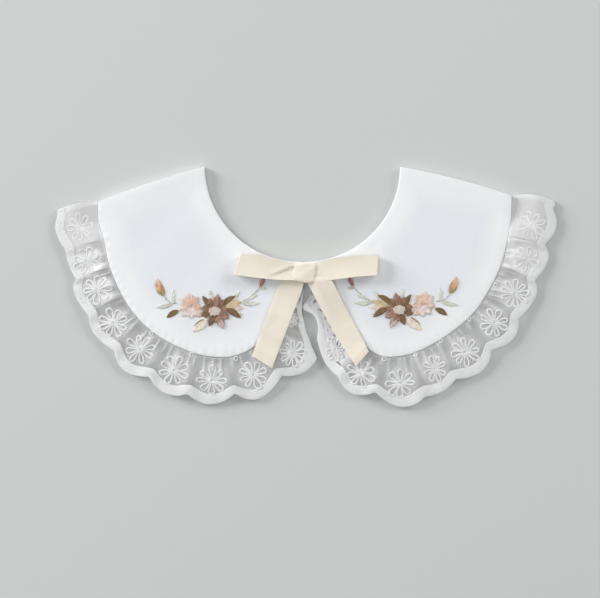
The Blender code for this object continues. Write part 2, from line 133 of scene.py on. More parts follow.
# Lace flowers: centre x, y, radius, petals, turn in degrees, narrowing, and the angle of the long axis
LEFT_FLOWERS = (
    (-140.4, 37.6, 8.8, 8, 10, 0.96, 90),
    (-136.4, 16.6, 8.8, 8, 30, 0.94, 60),
    (-129.9, -1.2, 9.4, 8, 4, 0.97, 30),
    (-119.6, -21.8, 9.6, 8, 20, 0.96, 20),
    (-103.1, -38.2, 9.7, 8, 8, 0.98, 0),
    (-82.0, -51.2, 9.6, 8, 16, 0.97, 0),
    (-58.6, -57.6, 9.7, 8, 0, 0.96, 0),
    (-33.0, -54.2, 9.5, 8, 22, 0.94, 0),
    (-8.6, -40.6, 8.9, 9, 6, 0.92, 60),
    (-9.4, -20.0, 4.4, 7, 15, 0.9, 100),
)
RIGHT_FLOWERS = (
    (139.6, 38.6, 8.8, 8, 12, 0.96, 90),
    (136.4, 17.8, 8.9, 8, 26, 0.94, 120),
    (128.9, -3.8, 9.4, 9, 2, 0.97, 150),
    (116.3, -21.8, 9.6, 8, 18, 0.96, 160),
    (98.4, -39.8, 9.7, 8, 10, 0.98, 0),
    (79.6, -50.2, 8.6, 8, 24, 0.84, 96),
    (58.2, -59.4, 9.7, 8, 0, 0.96, 0),
    (33.6, -53.2, 9.4, 8, 14, 0.95, 0),
    (17.8, -38.4, 7.6, 8, 8, 0.8, 110),
)
# Small worked dots of the lace near the seam: x, y, radius
LEFT_DOTS = (
    (-113.9, -3.6, 1.1), (-71.2, -41.6, 1.2), (-43.8, -43.9, 1.2), (-126.9, 17.6, 1.0),
    (-96.4, -28.4, 1.0), (-30.2, -36.4, 1.0),
)
RIGHT_DOTS = (
    (48.2, -44.1, 1.3), (117.0, 1.6, 1.1), (83.4, -33.0, 1.0), (124.4, 21.4, 1.0),
    (67.6, -41.6, 1.0), (101.0, -19.6, 1.0),
)

# Small holes of the solid lace by the front edges: x, y, radius
LEFT_EYELETS = ((-3.6, -7.2, 0.9), (-1.9, -11.4, 0.7), (-3.4, -12.9, 0.6), (-6.4, -13.6, 0.8))
RIGHT_EYELETS = (
    (3.5, -3.4, 1.1), (4.6, -4.1, 0.7), (5.2, -8.5, 1.0), (7.9, -9.2, 0.6), (7.4, -13.4, 0.5),
    (8.9, -14.2, 0.7), (12.4, -18.5, 1.1), (15.3, -24.3, 0.8), (13.1, -26.2, 0.4), (17.3, -29.7, 0.7),
    (14.6, -31.8, 0.5), (11.9, -42.7, 1.2), (15.0, -38.8, 0.5), (12.2, -36.4, 0.5), (15.6, -42.4, 0.4),
    (19.4, -47.2, 1.5), (9.6, -33.5, 0.4), (19.2, -35.0, 0.7), (1.2, -11.4, 0.7), (-1.2, -10.6, 0.6),
)
# Where one stretch of net laps over the next: the scallops where it starts, is full and ends, and how
# strongly it does
LEFT_OVERLAPS = (
    (1.3, 1.8, 1.98, 0.4), (2.1, 2.5, 2.95, 0.65), (3.15, 3.6, 3.94, 0.6), (4.5, 4.8, 4.95, 0.4),
    (6.4, 6.8, 6.9, 0.3), (8.5, 8.9, 9.0, 0.4), (9.5, 10.3, 12.2, 0.8),
)
RIGHT_OVERLAPS = (
    (1.3, 1.8, 1.98, 0.4), (2.0, 2.06, 2.95, 0.7), (3.1, 3.6, 3.9, 0.55), (5.4, 5.8, 5.95, 0.3),
    (6.2, 6.9, 7.1, 0.6), (8.5, 8.9, 9.0, 0.3),
)

# Ribbon stretches, a row for each section: x, y of one side, then x, y of the other
LEFT_TAIL = (
    (-15.2, 8.6, -1.3, 4.2), (-17.4, 1.5, -3.4, -3.4), (-22.4, -11.9, -8.6, -16.8),
    (-27.6, -25.6, -14.2, -31.4), (-33.9, -42.2, -21.3, -49.8),
)
RIGHT_TAIL = (
    (0.0, 4.2, 13.2, 9.6), (4.0, -3.8, 16.6, 3.0), (11.2, -17.0, 23.4, -10.6),
    (18.6, -30.2, 30.8, -24.2), (30.6, -48.6, 38.6, -39.4),
)
LEFT_LOOP = (
    (-6.0, 4.6, -6.0, 15.4), (-18.0, 4.9, -17.5, 17.2), (-30.0, 6.0, -28.0, 20.0),
    (-45.0, 8.1, -41.0, 20.5),
)
RIGHT_LOOP = (
    (3.2, 4.4, 3.4, 15.0), (14.5, 4.7, 13.6, 17.6), (29.0, 6.5, 28.0, 19.6), (43.9, 7.7, 44.5, 19.8),
)
LOOP_UNDER = (6.4, 5.4, 4.9, 4.9)
LEFT_LOOP_TOP = (8.0, 8.8, 9.4, 9.1)
RIGHT_LOOP_TOP = (7.5, 8.1, 8.7, 8.9)
# The knot is a band wrapped round: x, y of its lower edge, y of its upper edge, height of its top
KNOT = (
    (-12.0, 5.2, 15.4, 7.9), (-9.6, 4.8, 15.6, 8.15), (-6.6, 4.0, 15.7, 8.5), (-0.5, 2.8, 15.7, 8.85),
    (5.8, 2.9, 15.3, 8.4),
)
# Crease where the ribbon is drawn into the knot, from its soft end to its sharp end
CREASE = ((-24.5, 6.4), (-7.6, 12.7))


def smoothstep(value: Number) -> Number:
    """Ease from 0 to 1."""
    value = np.clip(value, 0.0, 1.0)
    return value * value * (3 - 2 * value)


def mix(start: Number, end: Number, share: Number) -> Number:
    """Blend two numbers or arrays."""
    return start + (end - start) * share


def ease(value: Number, start: Number, over: Number) -> Number:
    """Ease from 0 at a start to 1 further on."""
    return smoothstep((value - start) / over)


def fade(value: Number, start: Number, over: Number) -> Number:
    """Ease from 1 at a start to 0 further on."""
    return 1 - smoothstep((value - start) / over)


def bell(distance: Number, width: float) -> Number:
    """A smooth hump of height 1, with the given half width."""
    return np.exp(-((distance / width) ** 2))


def travelled(points: Array) -> Array:
    """Distances of points along the line through them, from the first of them."""
    return np.concatenate([[0.0], np.cumsum(np.linalg.norm(np.diff(points, axis=0), axis=1))])


def turned_by(points: Array, angle: float) -> Array:
    """Turn plan points round the origin by an angle in radians."""
    cosine, sine = math.cos(angle), math.sin(angle)
    return points @ np.array([[cosine, sine], [-sine, cosine]])


def read_columns(places: Number, rows: Array, table: Array) -> Array:
    """Read every column of a table between its rows.

    Args:
        places: Where to read it.
        rows: Where its rows stand, in rising order.
        table: The table, a row for each of them.

    Returns:
        What is read, along the last axis.
    """
    return np.stack([np.interp(places, rows, column) for column in table.T], axis=-1)


def smoothed(rows: Array, width: float) -> Array:
    """Average rows with their neighbours, with the first and the last kept in place.

    Args:
        rows: Rows of numbers at an even pitch.
        width: How many rows the average reaches over.

    Returns:
        Rows of the same shape.
    """
    span = math.ceil(3 * width)
    weights = bell(np.arange(-span, span + 1), width * math.sqrt(2))
    weights /= weights.sum()
    padded = np.pad(rows, ((span, span), (0, 0)), mode="reflect", reflect_type="odd")
    return np.stack([np.convolve(column, weights, mode="valid") for column in padded.T], axis=1)


@lru_cache(maxsize=None)
def ring_faces(rows: int, count: int) -> Array:
    """Faces between closed rings of equal count.

    Args:
        rows: Number of rings.
        count: Points in a ring.

    Returns:
        Four point numbers for each face.
    """
    row = np.arange(rows - 1)[:, None]
    spot = np.arange(count)
    after = (spot + 1) % count
    corners = (row * count + spot, row * count + after, (row + 1) * count + after, (row + 1) * count + spot)
    return np.stack(np.broadcast_arrays(*corners), axis=-1).reshape(-1, 4)


@lru_cache(maxsize=None)
def grid_faces(rows: int, columns: int) -> Array:
    """Faces of an open grid of points.

    Args:
        rows: Number of rows.
        columns: Points in a row.

    Returns:
        Four point numbers for each face.
    """
    row = np.arange(rows - 1)[:, None]
    spot = np.arange(columns - 1)
    start = row * columns + spot
    return np.stack([start, start + 1, start + columns + 1, start + columns], axis=-1).reshape(-1, 4)


class Curve:
    """A smooth line through a few points, read by its length."""

    STEPS = 24
    # Half of the stretch, in millimetres, over which a direction is taken
    SIGHT = 0.8

    def __init__(self, points: Table) -> None:
        """Work out the line.

        Args:
            points: Points of two or more numbers, the first two of them x and y.
        """
        given = np.array(points, dtype=float)
        padded = np.vstack([given[:1], given, given[-1:]])
        share = np.arange(self.STEPS)[:, None] / self.STEPS
        spans = []
        for a, b, c, d in zip(padded, padded[1:], padded[2:], padded[3:]):
            spans.append(0.5 * (2 * b + (c - a) * share + (2 * a - 5 * b + 4 * c - d) * share ** 2
                                + (3 * b - a - 3 * c + d) * share ** 3))
        self.dense = np.vstack([*spans, given[-1:]])
        self.reach = travelled(self.dense)
        self.length = float(self.reach[-1])

    def at(self, distance: Number) -> Array:
        """Points at distances from the start, along the last axis."""
        return read_columns(np.clip(distance, 0.0, self.length), self.reach, self.dense)

    def along(self, distance: Number) -> Array:
        """Unit direction of travel at distances from the start."""
        step = self.at(distance + self.SIGHT) - self.at(distance - self.SIGHT)
        return step / np.linalg.norm(step, axis=-1, keepdims=True)

    def nearest(self, x: float, y: float) -> float:
        """Distance along the line of the point nearest to x, y."""
        gaps = np.linalg.norm(self.dense[:, :2] - (x, y), axis=1)
        return float(self.reach[int(np.argmin(gaps))])


@dataclass
class MeshPile:
    """Points and faces gathered in millimetres for one object."""

    points: list[Array] = field(default_factory=list)
    faces: list[list[int]] = field(default_factory=list)
    lays: list[Array] = field(default_factory=list)
    tones: list[Array] = field(default_factory=list)
    count: int = 0

    def add(self, points: Array, faces: Array, lay: Array, tone: Colour = (1, 1, 1)) -> None:
        """Put a patch on the pile.

        Args:
            points: Its points, with x, y, z along the last axis.
            faces: Point numbers of each face, counted within this patch.
            lay: Where each point is on the flat cloth: along, across, and how closely it is gathered.
            tone: Colour of the thread, for the finishes that read it.
        """
        points = points.reshape(-1, 3)
        self.points.append(points)
        self.faces.extend((faces + self.count).tolist())
        self.lays.append(lay.reshape(-1, 3))
        self.tones.append(np.tile((*tone, 1.0), (len(points), 1)))
        self.count += len(points)

    def add_tube(self, rings: Array, lay: Array, tone: Colour = (1, 1, 1)) -> None:
        """Put a row of closed rings on the pile, joined and closed at both ends.

        Args:
            rings: Points x, y, z of each ring.
            lay: Their lay on the flat cloth.
            tone: Colour of the thread.
        """
        rows, count = rings.shape[:2]
        first = self.count
        self.add(rings, ring_faces(rows, count), lay, tone)
        last = first + (rows - 1) * count
        self.faces.append(list(range(first + count - 1, first - 1, -1)))
        self.faces.append(list(range(last, last + count)))

    def tree(self) -> BVHTree:
        """Search tree of the pile, for what lies on it."""
        return BVHTree.FromPolygons(np.vstack(self.points).tolist(), self.faces)

    def build(self, name: str, finish: Material, slot: str,
              sharp: float = 50.0) -> Piece:
        """Make the object, in metres and riding on the collar.

        Args:
            name: Name of the piece.
            finish: Its material.
            slot: Not used.
            sharp: Edges bent more than this many degrees stay crisp.

        Returns:
            The new object.
        """
        places = (np.vstack(self.points) - (*OUTLINE_MIDDLE, 0.0)) * MM
        mesh = bpy.data.meshes.new(name)
        mesh.from_pydata(places.tolist(), [], self.faces)
        lay = mesh.attributes.new("lay", "FLOAT_VECTOR", "POINT")
        lay.data.foreach_set("vector", np.vstack(self.lays).astype(np.float32).ravel())
        tone = mesh.attributes.new("tone", "FLOAT_COLOR", "POINT")
        tone.data.foreach_set("color", np.vstack(self.tones).astype(np.float32).ravel())
        work = bmesh.new()
        work.from_mesh(mesh)
        bmesh.ops.recalc_face_normals(work, faces=work.faces)
        work.to_mesh(mesh)
        work.free()
        mesh.shade_smooth()
        mesh.set_sharp_from_angle(angle=math.radians(sharp))
        mesh.materials.append(finish)
        piece = bpy.data.objects.new(name, mesh)
        bpy.context.scene.collection.objects.link(piece)
        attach(piece, BODY)
        LOG.info("%s: %d points, %d faces", name, self.count, len(self.faces))
        return piece


class Ground:
    """Upper faces of what lies lower, read from above in millimetres."""

    DROP_FROM = 60.0

    def __init__(self, piles: Sequence[MeshPile]) -> None:
        """Take the piles that can be lain on."""
        self.trees = [pile.tree() for pile in piles]

    def height(self, x: float, y: float) -> float:
        """Highest face at a place, 0 where there is only the table."""
        hits = (tree.ray_cast(Vector((x, y, self.DROP_FROM)), Vector((0, 0, -1)))[0] for tree in self.trees)
        return max(0.0, *(0.0 if hit is None else hit.z for hit in hits))

    def heights(self, places: Array) -> Array:
        """Highest face at each row of x, y."""
        return np.array([self.height(float(place[0]), float(place[1])) for place in places])

    def around(self, x: float, y: float, reach: float) -> float:
        """Highest face within a short reach of a place."""
        shifts = (-reach, 0.0, reach)
        return max(self.height(x + across, y + up) for across in shifts for up in shifts)


def add_thread(pile: MeshPile, path: Array, wide: Array, tall: Array, sides: int,
               tone: Colour = (1, 1, 1), start: float = 0.0) -> None:
    """Lay a flattened thread along a path.

    Args:
        pile: Where the thread goes.
        path: Its middle, a row of x, y, z for each step.
        wide: Half width at each step.
        tall: Half height at each step.
        sides: Corners of its section.
        tone: Its colour.
        start: Distance that its lay starts from.
    """
    ahead = np.gradient(path[:, :2], axis=0)
    ahead /= np.maximum(np.linalg.norm(ahead, axis=1, keepdims=True), 1e-9)
    across = np.stack([-ahead[:, 1], ahead[:, 0], np.zeros(len(path))], axis=1)
    angles = 2 * np.pi * np.arange(sides) / sides
    ring = across[:, None, :] * (np.cos(angles)[None, :, None] * wide[:, None, None])
    ring[:, :, 2] += np.sin(angles) * tall[:, None]
    lay = np.zeros((len(path), sides, 3))
    lay[:, :, 0] = travelled(path)[:, None] + start
    lay[:, :, 1] = np.arange(sides) / sides
    pile.add_tube(path[:, None, :] + ring, lay, tone)


def add_slab(pile: MeshPile, top: Array, under: Array, lay: Array) -> None:
    """Close two grids of equal size into one wall.

    Args:
        pile: Where the wall goes.
        top: Points of its upper face, in rows.
        under: Points of its lower face, in rows.
        lay: Their lay on the flat cloth.
    """
    rows, columns = top.shape[:2]
    size = rows * columns
    faces = grid_faces(rows, columns)
    rim = list(range(columns)) + [row * columns + columns - 1 for row in range(1, rows)]
    rim += [(rows - 1) * columns + column for column in range(columns - 2, -1, -1)]
    rim += [row * columns for row in range(rows - 2, 0, -1)]
    band = [(here, after, size + after, size + here) for here, after in zip(rim, rim[1:] + rim[:1])]
    whole = np.vstack([faces, faces[:, ::-1] + size, np.array(band)])
    pile.add(np.stack([top, under]), whole, np.stack([lay, lay]))


class NodeKit:
    """Shader nodes of one material, added and linked by short calls."""

    SHEEN_ROUGHNESS = 0.5
    SPECULAR = 0.25
    # Sockets of a colour mix: its share, the two colours, and the result
    MIX_IN = (0, 6, 7)
    MIX_OUT = 2

    def __init__(self, name: str, colour: Colour, roughness: float, sheen: float) -> None:
        """Start a material whose even values sit on the shader's own sockets.

        Args:
            name: Name of the material.
            colour: Its even colour.
            roughness: Its roughness.
            sheen: Its sheen.
        """
        self.material = bpy.data.materials.new(name)
        self.material.use_nodes = True
        self.tree = self.material.node_tree
        self.shader = self.tree.nodes["Principled BSDF"]
        self.shader.inputs["Base Color"].default_value = (*colour, 1.0)
        self.shader.inputs["Roughness"].default_value = roughness
        self.shader.inputs["Sheen Weight"].default_value = sheen
        self.shader.inputs["Sheen Roughness"].default_value = self.SHEEN_ROUGHNESS
        self.shader.inputs["Specular IOR Level"].default_value = self.SPECULAR

    def feed(self, socket: Socket, value: object) -> None:
        """Link a socket to another, or set its value.

        Args:
            socket: The socket to feed.
            value: A socket, a number, a vector, or the three parts of a colour.
        """
        if isinstance(value, Socket):
            self.tree.links.new(value, socket)
        elif socket.type == "RGBA":
            socket.default_value = (*value, 1.0)
        else:
            socket.default_value = value

    def add(self, kind: str, feeds: dict[str | int, object], **settings: object) -> bpy.types.Node:
        """Add a node.

        Args:
            kind: Kind of the node.
            feeds: What its sockets are fed, by name or number.
            settings: Its options.

        Returns:
            The node.
        """
        node = self.tree.nodes.new("ShaderNode" + kind)
        for key, value in settings.items():
            setattr(node, key, value)
        for key, value in feeds.items():
            self.feed(node.inputs[key], value)
        return node

    def math(self, operation: str, *values: object, clamp: bool = False) -> Socket:
        """Result of a Math node, kept between 0 and 1 if clamped."""
        return self.add("Math", dict(enumerate(values)), operation=operation, use_clamp=clamp).outputs[0]

    def plus(self, first: object, second: object) -> Socket:
        """Sum of two values."""
        return self.math("ADD", first, second)

    def times(self, first: object, second: object) -> Socket:
        """Product of two values."""
        return self.math("MULTIPLY", first, second)

    def scaled(self, value: object, factor: object, added: object, clamp: bool = False) -> Socket:
        """A value times a factor, with another added."""
        return self.math("MULTIPLY_ADD", value, factor, added, clamp=clamp)

    def blend(self, share: object, start: object, end: object) -> Socket:
        """Blend of two colours, the first of them at a share of 0."""
        feeds = dict(zip(self.MIX_IN, (share, start, end)))
        return self.add("Mix", feeds, data_type="RGBA").outputs[self.MIX_OUT]

    def paint(self, share: object, start: object, end: object) -> None:
        """Colour the shader by a blend of two colours."""
        self.feed(self.shader.inputs["Base Color"], self.blend(share, start, end))

    def split(self, vector: Socket) -> tuple[Socket, ...]:
        """The three parts of a vector."""
        return tuple(self.add("SeparateXYZ", {0: vector}).outputs)

    def lay(self) -> Socket:
        """Where the surface is on the flat cloth."""
        return self.add("Attribute", {}, attribute_name="lay").outputs["Vector"]

    def tone(self) -> Socket:
        """Colour of the thread."""
        return self.add("Attribute", {}, attribute_name="tone").outputs["Color"]

    def place(self) -> Socket:
        """Place on the object, in metres."""
        return self.add("TexCoord", {}).outputs["Object"]

    def noise(self, vector: Socket, scale: Scale, detail: float = 2.0) -> Socket:
        """Soft noise, with its own scale along each axis."""
        place = self.add("Mapping", {"Vector": vector, "Scale": scale}).outputs[0]
        return self.add("TexNoise", {"Vector": place, "Scale": 1.0, "Detail": detail}).outputs[0]

    def range(self, value: Socket, low: float, high: float, *results: float) -> Socket:
        """Ease a value from one range to another, which is 0 to 1 unless given."""
        feeds = dict(enumerate((value, low, high, *results)))
        return self.add("MapRange", feeds, interpolation_type="SMOOTHSTEP").outputs[0]

    def hump(self, count: Socket) -> Socket:
        """A row of round humps, one for each whole number."""
        return self.math("ABSOLUTE", self.math("SINE", self.times(count, math.pi)))

    def bump(self, height: Socket, strength: float, depth: float) -> None:
        """Raise the shader's surface by a height, with its depth in metres."""
        node = self.add("Bump", {"Strength": strength, "Distance": depth, "Height": height})
        self.feed(self.shader.inputs["Normal"], node.outputs[0])


@dataclass(frozen=True)
class Finish:
    """What every finish has: its even values, and a relief whose depth is in metres."""

    name: str = "plain"
    colour: Colour = (0.8, 0.8, 0.8)
    roughness: float = 0.9
    sheen: float = 0.0
    relief: float = 0.4
    depth: float = 0.0001

    def material(self) -> Material:
        """Make the material.

        Returns:
            The material, dressed with its nodes.
        """
        kit = NodeKit(self.name, self.colour, self.roughness, self.sheen)
        self.dress(kit)
        return kit.material

    def dress(self, kit: NodeKit) -> None:
        """Add the finish's own nodes."""


@dataclass(frozen=True)
class WovenLinen(Finish):
    """Close plain weave, bleached white, with a few thicker threads."""

    name: str = "white_cloth_weave"
    colour: Colour = (0.762, 0.778, 0.810)
    roughness: float = 0.88
    sheen: float = 0.06
    relief: float = 0.35
    depth: float = 0.00016
    # Lighter near the edges and the fold, darker towards the middle: how far the lighter rim reaches in from
    # the edge, and where the even middle starts
    rim: Colour = (0.838, 0.842, 0.845)
    rim_until: float = 5.0
    middle_from: float = 22.0
    # Share of the colour left between the threads, where shade is painted into the weave
    valley: float = 0.957
    threads_in_metre: float = 2300.0
    slub: tuple[float, float] = (60.0, 1400.0)
    slub_height: float = 0.9
    weave_shade: float = 0.35
    shade_from: float = 0.35

    def painted_gap_shade(self, colour: Colour) -> Colour:
        """Colour with the painted shade between the threads."""
        return tuple(part * self.valley for part in colour)

    def dress(self, kit: NodeKit) -> None:
        """Weave the cloth.

        Args:
            kit: Nodes of the material.
        """
        along, across, _ = kit.split(kit.place())
        u = kit.times(along, self.threads_in_metre)
        v = kit.times(across, self.threads_in_metre)
        warp = kit.hump(u)
        weft = kit.hump(v)
        parity = kit.math("FLOORED_MODULO", kit.plus(kit.math("FLOOR", u), kit.math("FLOOR", v)), 2.0)
        over = kit.times(warp, kit.scaled(weft, 0.5, 0.5))
        beneath = kit.times(weft, kit.scaled(warp, 0.5, 0.5))
        weave = kit.plus(over, kit.times(kit.math("SUBTRACT", beneath, over), parity))
        long_way, short_way = self.slub
        slubs = kit.math("MAXIMUM", kit.noise(kit.place(), (long_way, short_way, 0.0)),
                         kit.noise(kit.place(), (short_way, long_way, 0.0)))
        # Painted shade: the weave is darker where it dips between the threads, and lighter on the slubs
        shade = kit.range(kit.scaled(weave, self.weave_shade, slubs), self.shade_from, 1.0)
        _, _, inward = kit.split(kit.lay())
        # Share of the way from the lighter rim to the darker middle
        hollow = kit.range(inward, self.rim_until, self.middle_from)
        raised = kit.blend(hollow, self.rim, self.colour)
        low = kit.blend(hollow, self.painted_gap_shade(self.rim), self.painted_gap_shade(self.colour))
        kit.paint(shade, low, raised)
        kit.bump(kit.plus(weave, kit.times(slubs, self.slub_height)), self.relief, self.depth)


@dataclass(frozen=True)
class LaceNet(Finish):
    """Fine net of round holes, of which the ground of the lace is made."""

    name: str = "white_lace_net"
    colour: Colour = (0.765, 0.765, 0.758)
    # Colour where the net is single and open
    bare: Colour = (0.70, 0.70, 0.69)
    hole_pitch: float = 1.25
    # Three crossing waves are lowest between the holes, where the thread runs
    thread_from: float = -1.25
    thread_to: float = -0.68
    # How much of a hole is filled where the net is gathered, and how that wanders
    closing: float = 0.62
    wander: float = 0.24
    wander_scale: Scale = (0.21, 0.35, 0.0)

    def dress(self, kit: NodeKit) -> None:
        """Knot the net, whose holes let through what is behind.

        Args:
            kit: Nodes of the material.
        """
        along, across, gathered = kit.split(kit.lay())
        wave = 4 * math.pi / (math.sqrt(3) * self.hole_pitch)
        slanted = kit.times(along, wave * math.sqrt(3) / 2)
        upright = kit.times(across, wave)
        half = kit.times(upright, 0.5)
        waves = kit.plus(kit.math("COSINE", kit.plus(slanted, half)),
                         kit.math("COSINE", kit.math("SUBTRACT", slanted, half)))
        waves = kit.plus(waves, kit.math("COSINE", upright))
        thread = kit.range(waves, self.thread_from, self.thread_to, 1.0, 0.0)
        uneven = kit.noise(kit.lay(), self.wander_scale)
        closed = kit.plus(gathered, kit.scaled(uneven, self.wander, -self.wander / 2))
        filled = kit.times(closed, kit.math("SUBTRACT", 1.0, thread))
        kit.feed(kit.shader.inputs["Alpha"], kit.scaled(filled, self.closing, thread, clamp=True))
        kit.paint(closed, self.bare, self.colour)
        kit.bump(thread, self.relief, self.depth)


@dataclass(frozen=True)
class LaceThread(Finish):
    """White worked thread: short satin stitches side by side."""

    name: str = "white_lace_thread"
    colour: Colour = (0.80, 0.80, 0.795)
    roughness: float = 0.7
    sheen: float = 0.15
    relief: float = 0.6
    depth: float = 0.0002
    # Colour of the painted shade between the stitches and on the lower patches
    shaded: Colour = (0.72, 0.725, 0.72)
    stitches_in_mm: float = 3.2
    # Stitches wander, and patches of them lie a little lower and have painted shade on them
    wander: float = 1.6
    wander_scale: Scale = (0.9, 0.9, 0.0)
    patch_scale: Scale = (0.5, 1.1, 0.0)
    patch_height: float = 1.6

    def dress(self, kit: NodeKit) -> None:
        """Work the stitches.

        Args:
            kit: Nodes of the material.
        """
        along, _, _ = kit.split(kit.lay())
        drift = kit.times(kit.noise(kit.lay(), self.wander_scale), self.wander)
        stitch = kit.hump(kit.scaled(along, self.stitches_in_mm, drift))
        patch = kit.noise(kit.lay(), self.patch_scale, 3.0)
        # Painted shade: darker between the stitches and on the patches that lie lower
        shade = kit.times(kit.range(stitch, 0.0, 0.6, 0.45), kit.range(patch, 0.3, 0.6, 0.6))
        kit.paint(shade, self.shaded, self.colour)
        kit.bump(kit.plus(stitch, kit.times(patch, self.patch_height)), self.relief, self.depth)


@dataclass(frozen=True)
class CottonRibbon(Finish):
    """Matt cream ribbon with fine cross ribs and a closer edge."""

    name: str = "cream_ribbon_weave"
    colour: Colour = (0.83, 0.765, 0.655)
    roughness: float = 0.72
    sheen: float = 0.2
    depth: float = 0.00016
    # Colour of the painted shade between the ribs
    shaded: Colour = (0.765, 0.69, 0.575)
    ribs_in_mm: float = 1.7
    # Threads that cross the ribs, for each rib, and how much they stand out
    cords_in_rib: float = 1.9
    cord_share: float = 0.35
    streak_scale: Scale = (1.3, 0.12, 0.0)
    width: float = 15.0
    # The edge is closer between these distances from each side
    edge_from: float = 0.5
    edge_to: float = 1.1

    def dress(self, kit: NodeKit) -> None:
        """Weave the ribbon.

        Args:
            kit: Nodes of the material.
        """
        along, across, _ = kit.split(kit.lay())
        rib = kit.hump(kit.times(along, self.ribs_in_mm))
        cord = kit.hump(kit.times(across, self.ribs_in_mm * self.cords_in_rib))
        weave = kit.times(rib, kit.scaled(cord, self.cord_share, 1 - self.cord_share))
        uneven = kit.noise(kit.lay(), self.streak_scale, 3.0)
        from_side = kit.math("MINIMUM", across, kit.math("SUBTRACT", self.width, across))
        closer = kit.range(from_side, self.edge_from, self.edge_to, 1.0, 0.0)
        # Painted shade between the ribs and cords, with streaks that differ at random
        kit.paint(kit.scaled(weave, 0.45, kit.times(uneven, 0.9), clamp=True), self.shaded, self.colour)
        kit.bump(kit.plus(kit.scaled(uneven, 0.7, weave), kit.times(closer, 0.5)), self.relief, self.depth)


@dataclass(frozen=True)
class StrandedFloss(Finish):
    """Embroidery thread in the colour of each stitch, with a slight twist."""

    name: str = "embroidery_floss"
    colour: Colour = (0.5, 0.4, 0.3)
    roughness: float = 0.5
    sheen: float = 0.1
    depth: float = 0.00008
    # Painted shade between the strands, and how much of it is mixed into the thread's colour there
    strand_gap_shade: Colour = (0.03, 0.02, 0.015)
    strand_gap_shade_share: float = 0.28
    twists_in_mm: float = 1.1
    strands: float = 2.0
    streak_scale: Scale = (1.7, 1.0, 1.0)

    def dress(self, kit: NodeKit) -> None:
        """Twist the strands.

        Args:
            kit: Nodes of the material.
        """
        along, around, _ = kit.split(kit.lay())
        strand = kit.hump(kit.scaled(along, self.twists_in_mm, kit.times(around, self.strands)))
        uneven = kit.noise(kit.lay(), self.streak_scale, 3.0)
        # Painted shade: the thread's colour darkens between the strands of the twist
        shade = kit.scaled(strand, 0.25, kit.times(uneven, 0.5), clamp=True)
        kit.paint(shade, kit.blend(self.strand_gap_shade_share, kit.tone(), self.strand_gap_shade), kit.tone())
        kit.bump(strand, self.relief, self.depth)


@dataclass(frozen=True)
class PaperBackdrop(Finish):
    """Smooth pale grey paper."""

    name: str = "pale_paper"
    colour: Colour = (0.560, 0.574, 0.560)
    roughness: float = 0.95
    relief: float = 0.08
    fibre: Colour = (0.546, 0.560, 0.548)
    fibres_in_metre: float = 900.0

    def dress(self, kit: NodeKit) -> None:
        """Press the fibres.

        Args:
            kit: Nodes of the material.
        """
        fibres = kit.noise(kit.place(), (self.fibres_in_metre,) * 3, 4.0)
        kit.paint(fibres, self.fibre, self.colour)
        kit.bump(fibres, self.relief, self.depth)


@dataclass
class CollarSide:
    """Plan of one half: its neckline, outer seam and shoulder fold."""

    name: str
    sign: int
    seam_points: Sequence[Plan]
    scallops: Table
    last_valley: Row
    fold_bow: float
    lace_bow: float
    end_evenness: float = 0.43
    bow_fades_over: float = 14.0
    seam: Curve = field(init=False)

    def __post_init__(self) -> None:
        """Work out the seam."""
        self.seam = Curve(self.seam_points)

    def neck(self, share: Number) -> Array:
        """Points of the neckline, from the shoulder at 0 to the centre front at 1."""
        turn = np.asarray(share) * (math.pi / 2 - math.radians(NECK_END_ANGLE))
        return NECK_MIDDLE + np.stack([self.sign * np.cos(turn), -np.sin(turn)], axis=-1) * NECK_RADII

    def fold_normal(self) -> Array:
        """Unit direction out of the shoulder fold, away from the collar."""
        line = self.seam.at(0.0) - self.neck(0.0)
        return self.sign * np.array([-line[1], line[0]]) / np.linalg.norm(line)

    def fold_distance(self, points: Array) -> Array:
        """Distance of points from the straight line of the shoulder fold."""
        return -(points - self.neck(0.0)) @ self.fold_normal()

    def foot(self, share: float) -> float:
        """Distance along the seam of the point that faces a share of the neckline."""
        left_over = 1 - share
        return self.seam.length * (1 - left_over * mix(self.end_evenness, 1.0, left_over))

    def cloth(self, share: float, foot: float, across: Array) -> Array:
        """Plan points of the half.

        Args:
            share: Share of the neckline.
            foot: Distance along the seam.
            across: Shares of the way from the neckline to the seam.

        Returns:
            Points x, y.
        """
        across = np.asarray(across)[:, None]
        base = mix(self.neck(share), self.seam.at(foot), across)
        bow = self.fold_bow * 4 * across * (1 - across) * math.exp(-foot / self.bow_fades_over)
        return base + bow * self.fold_normal()

    def outward(self, distance: Number) -> Array:
        """Unit direction out of the seam."""
        ahead = self.seam.along(distance)
        return np.stack([-self.sign * ahead[..., 1], self.sign * ahead[..., 0]], axis=-1)


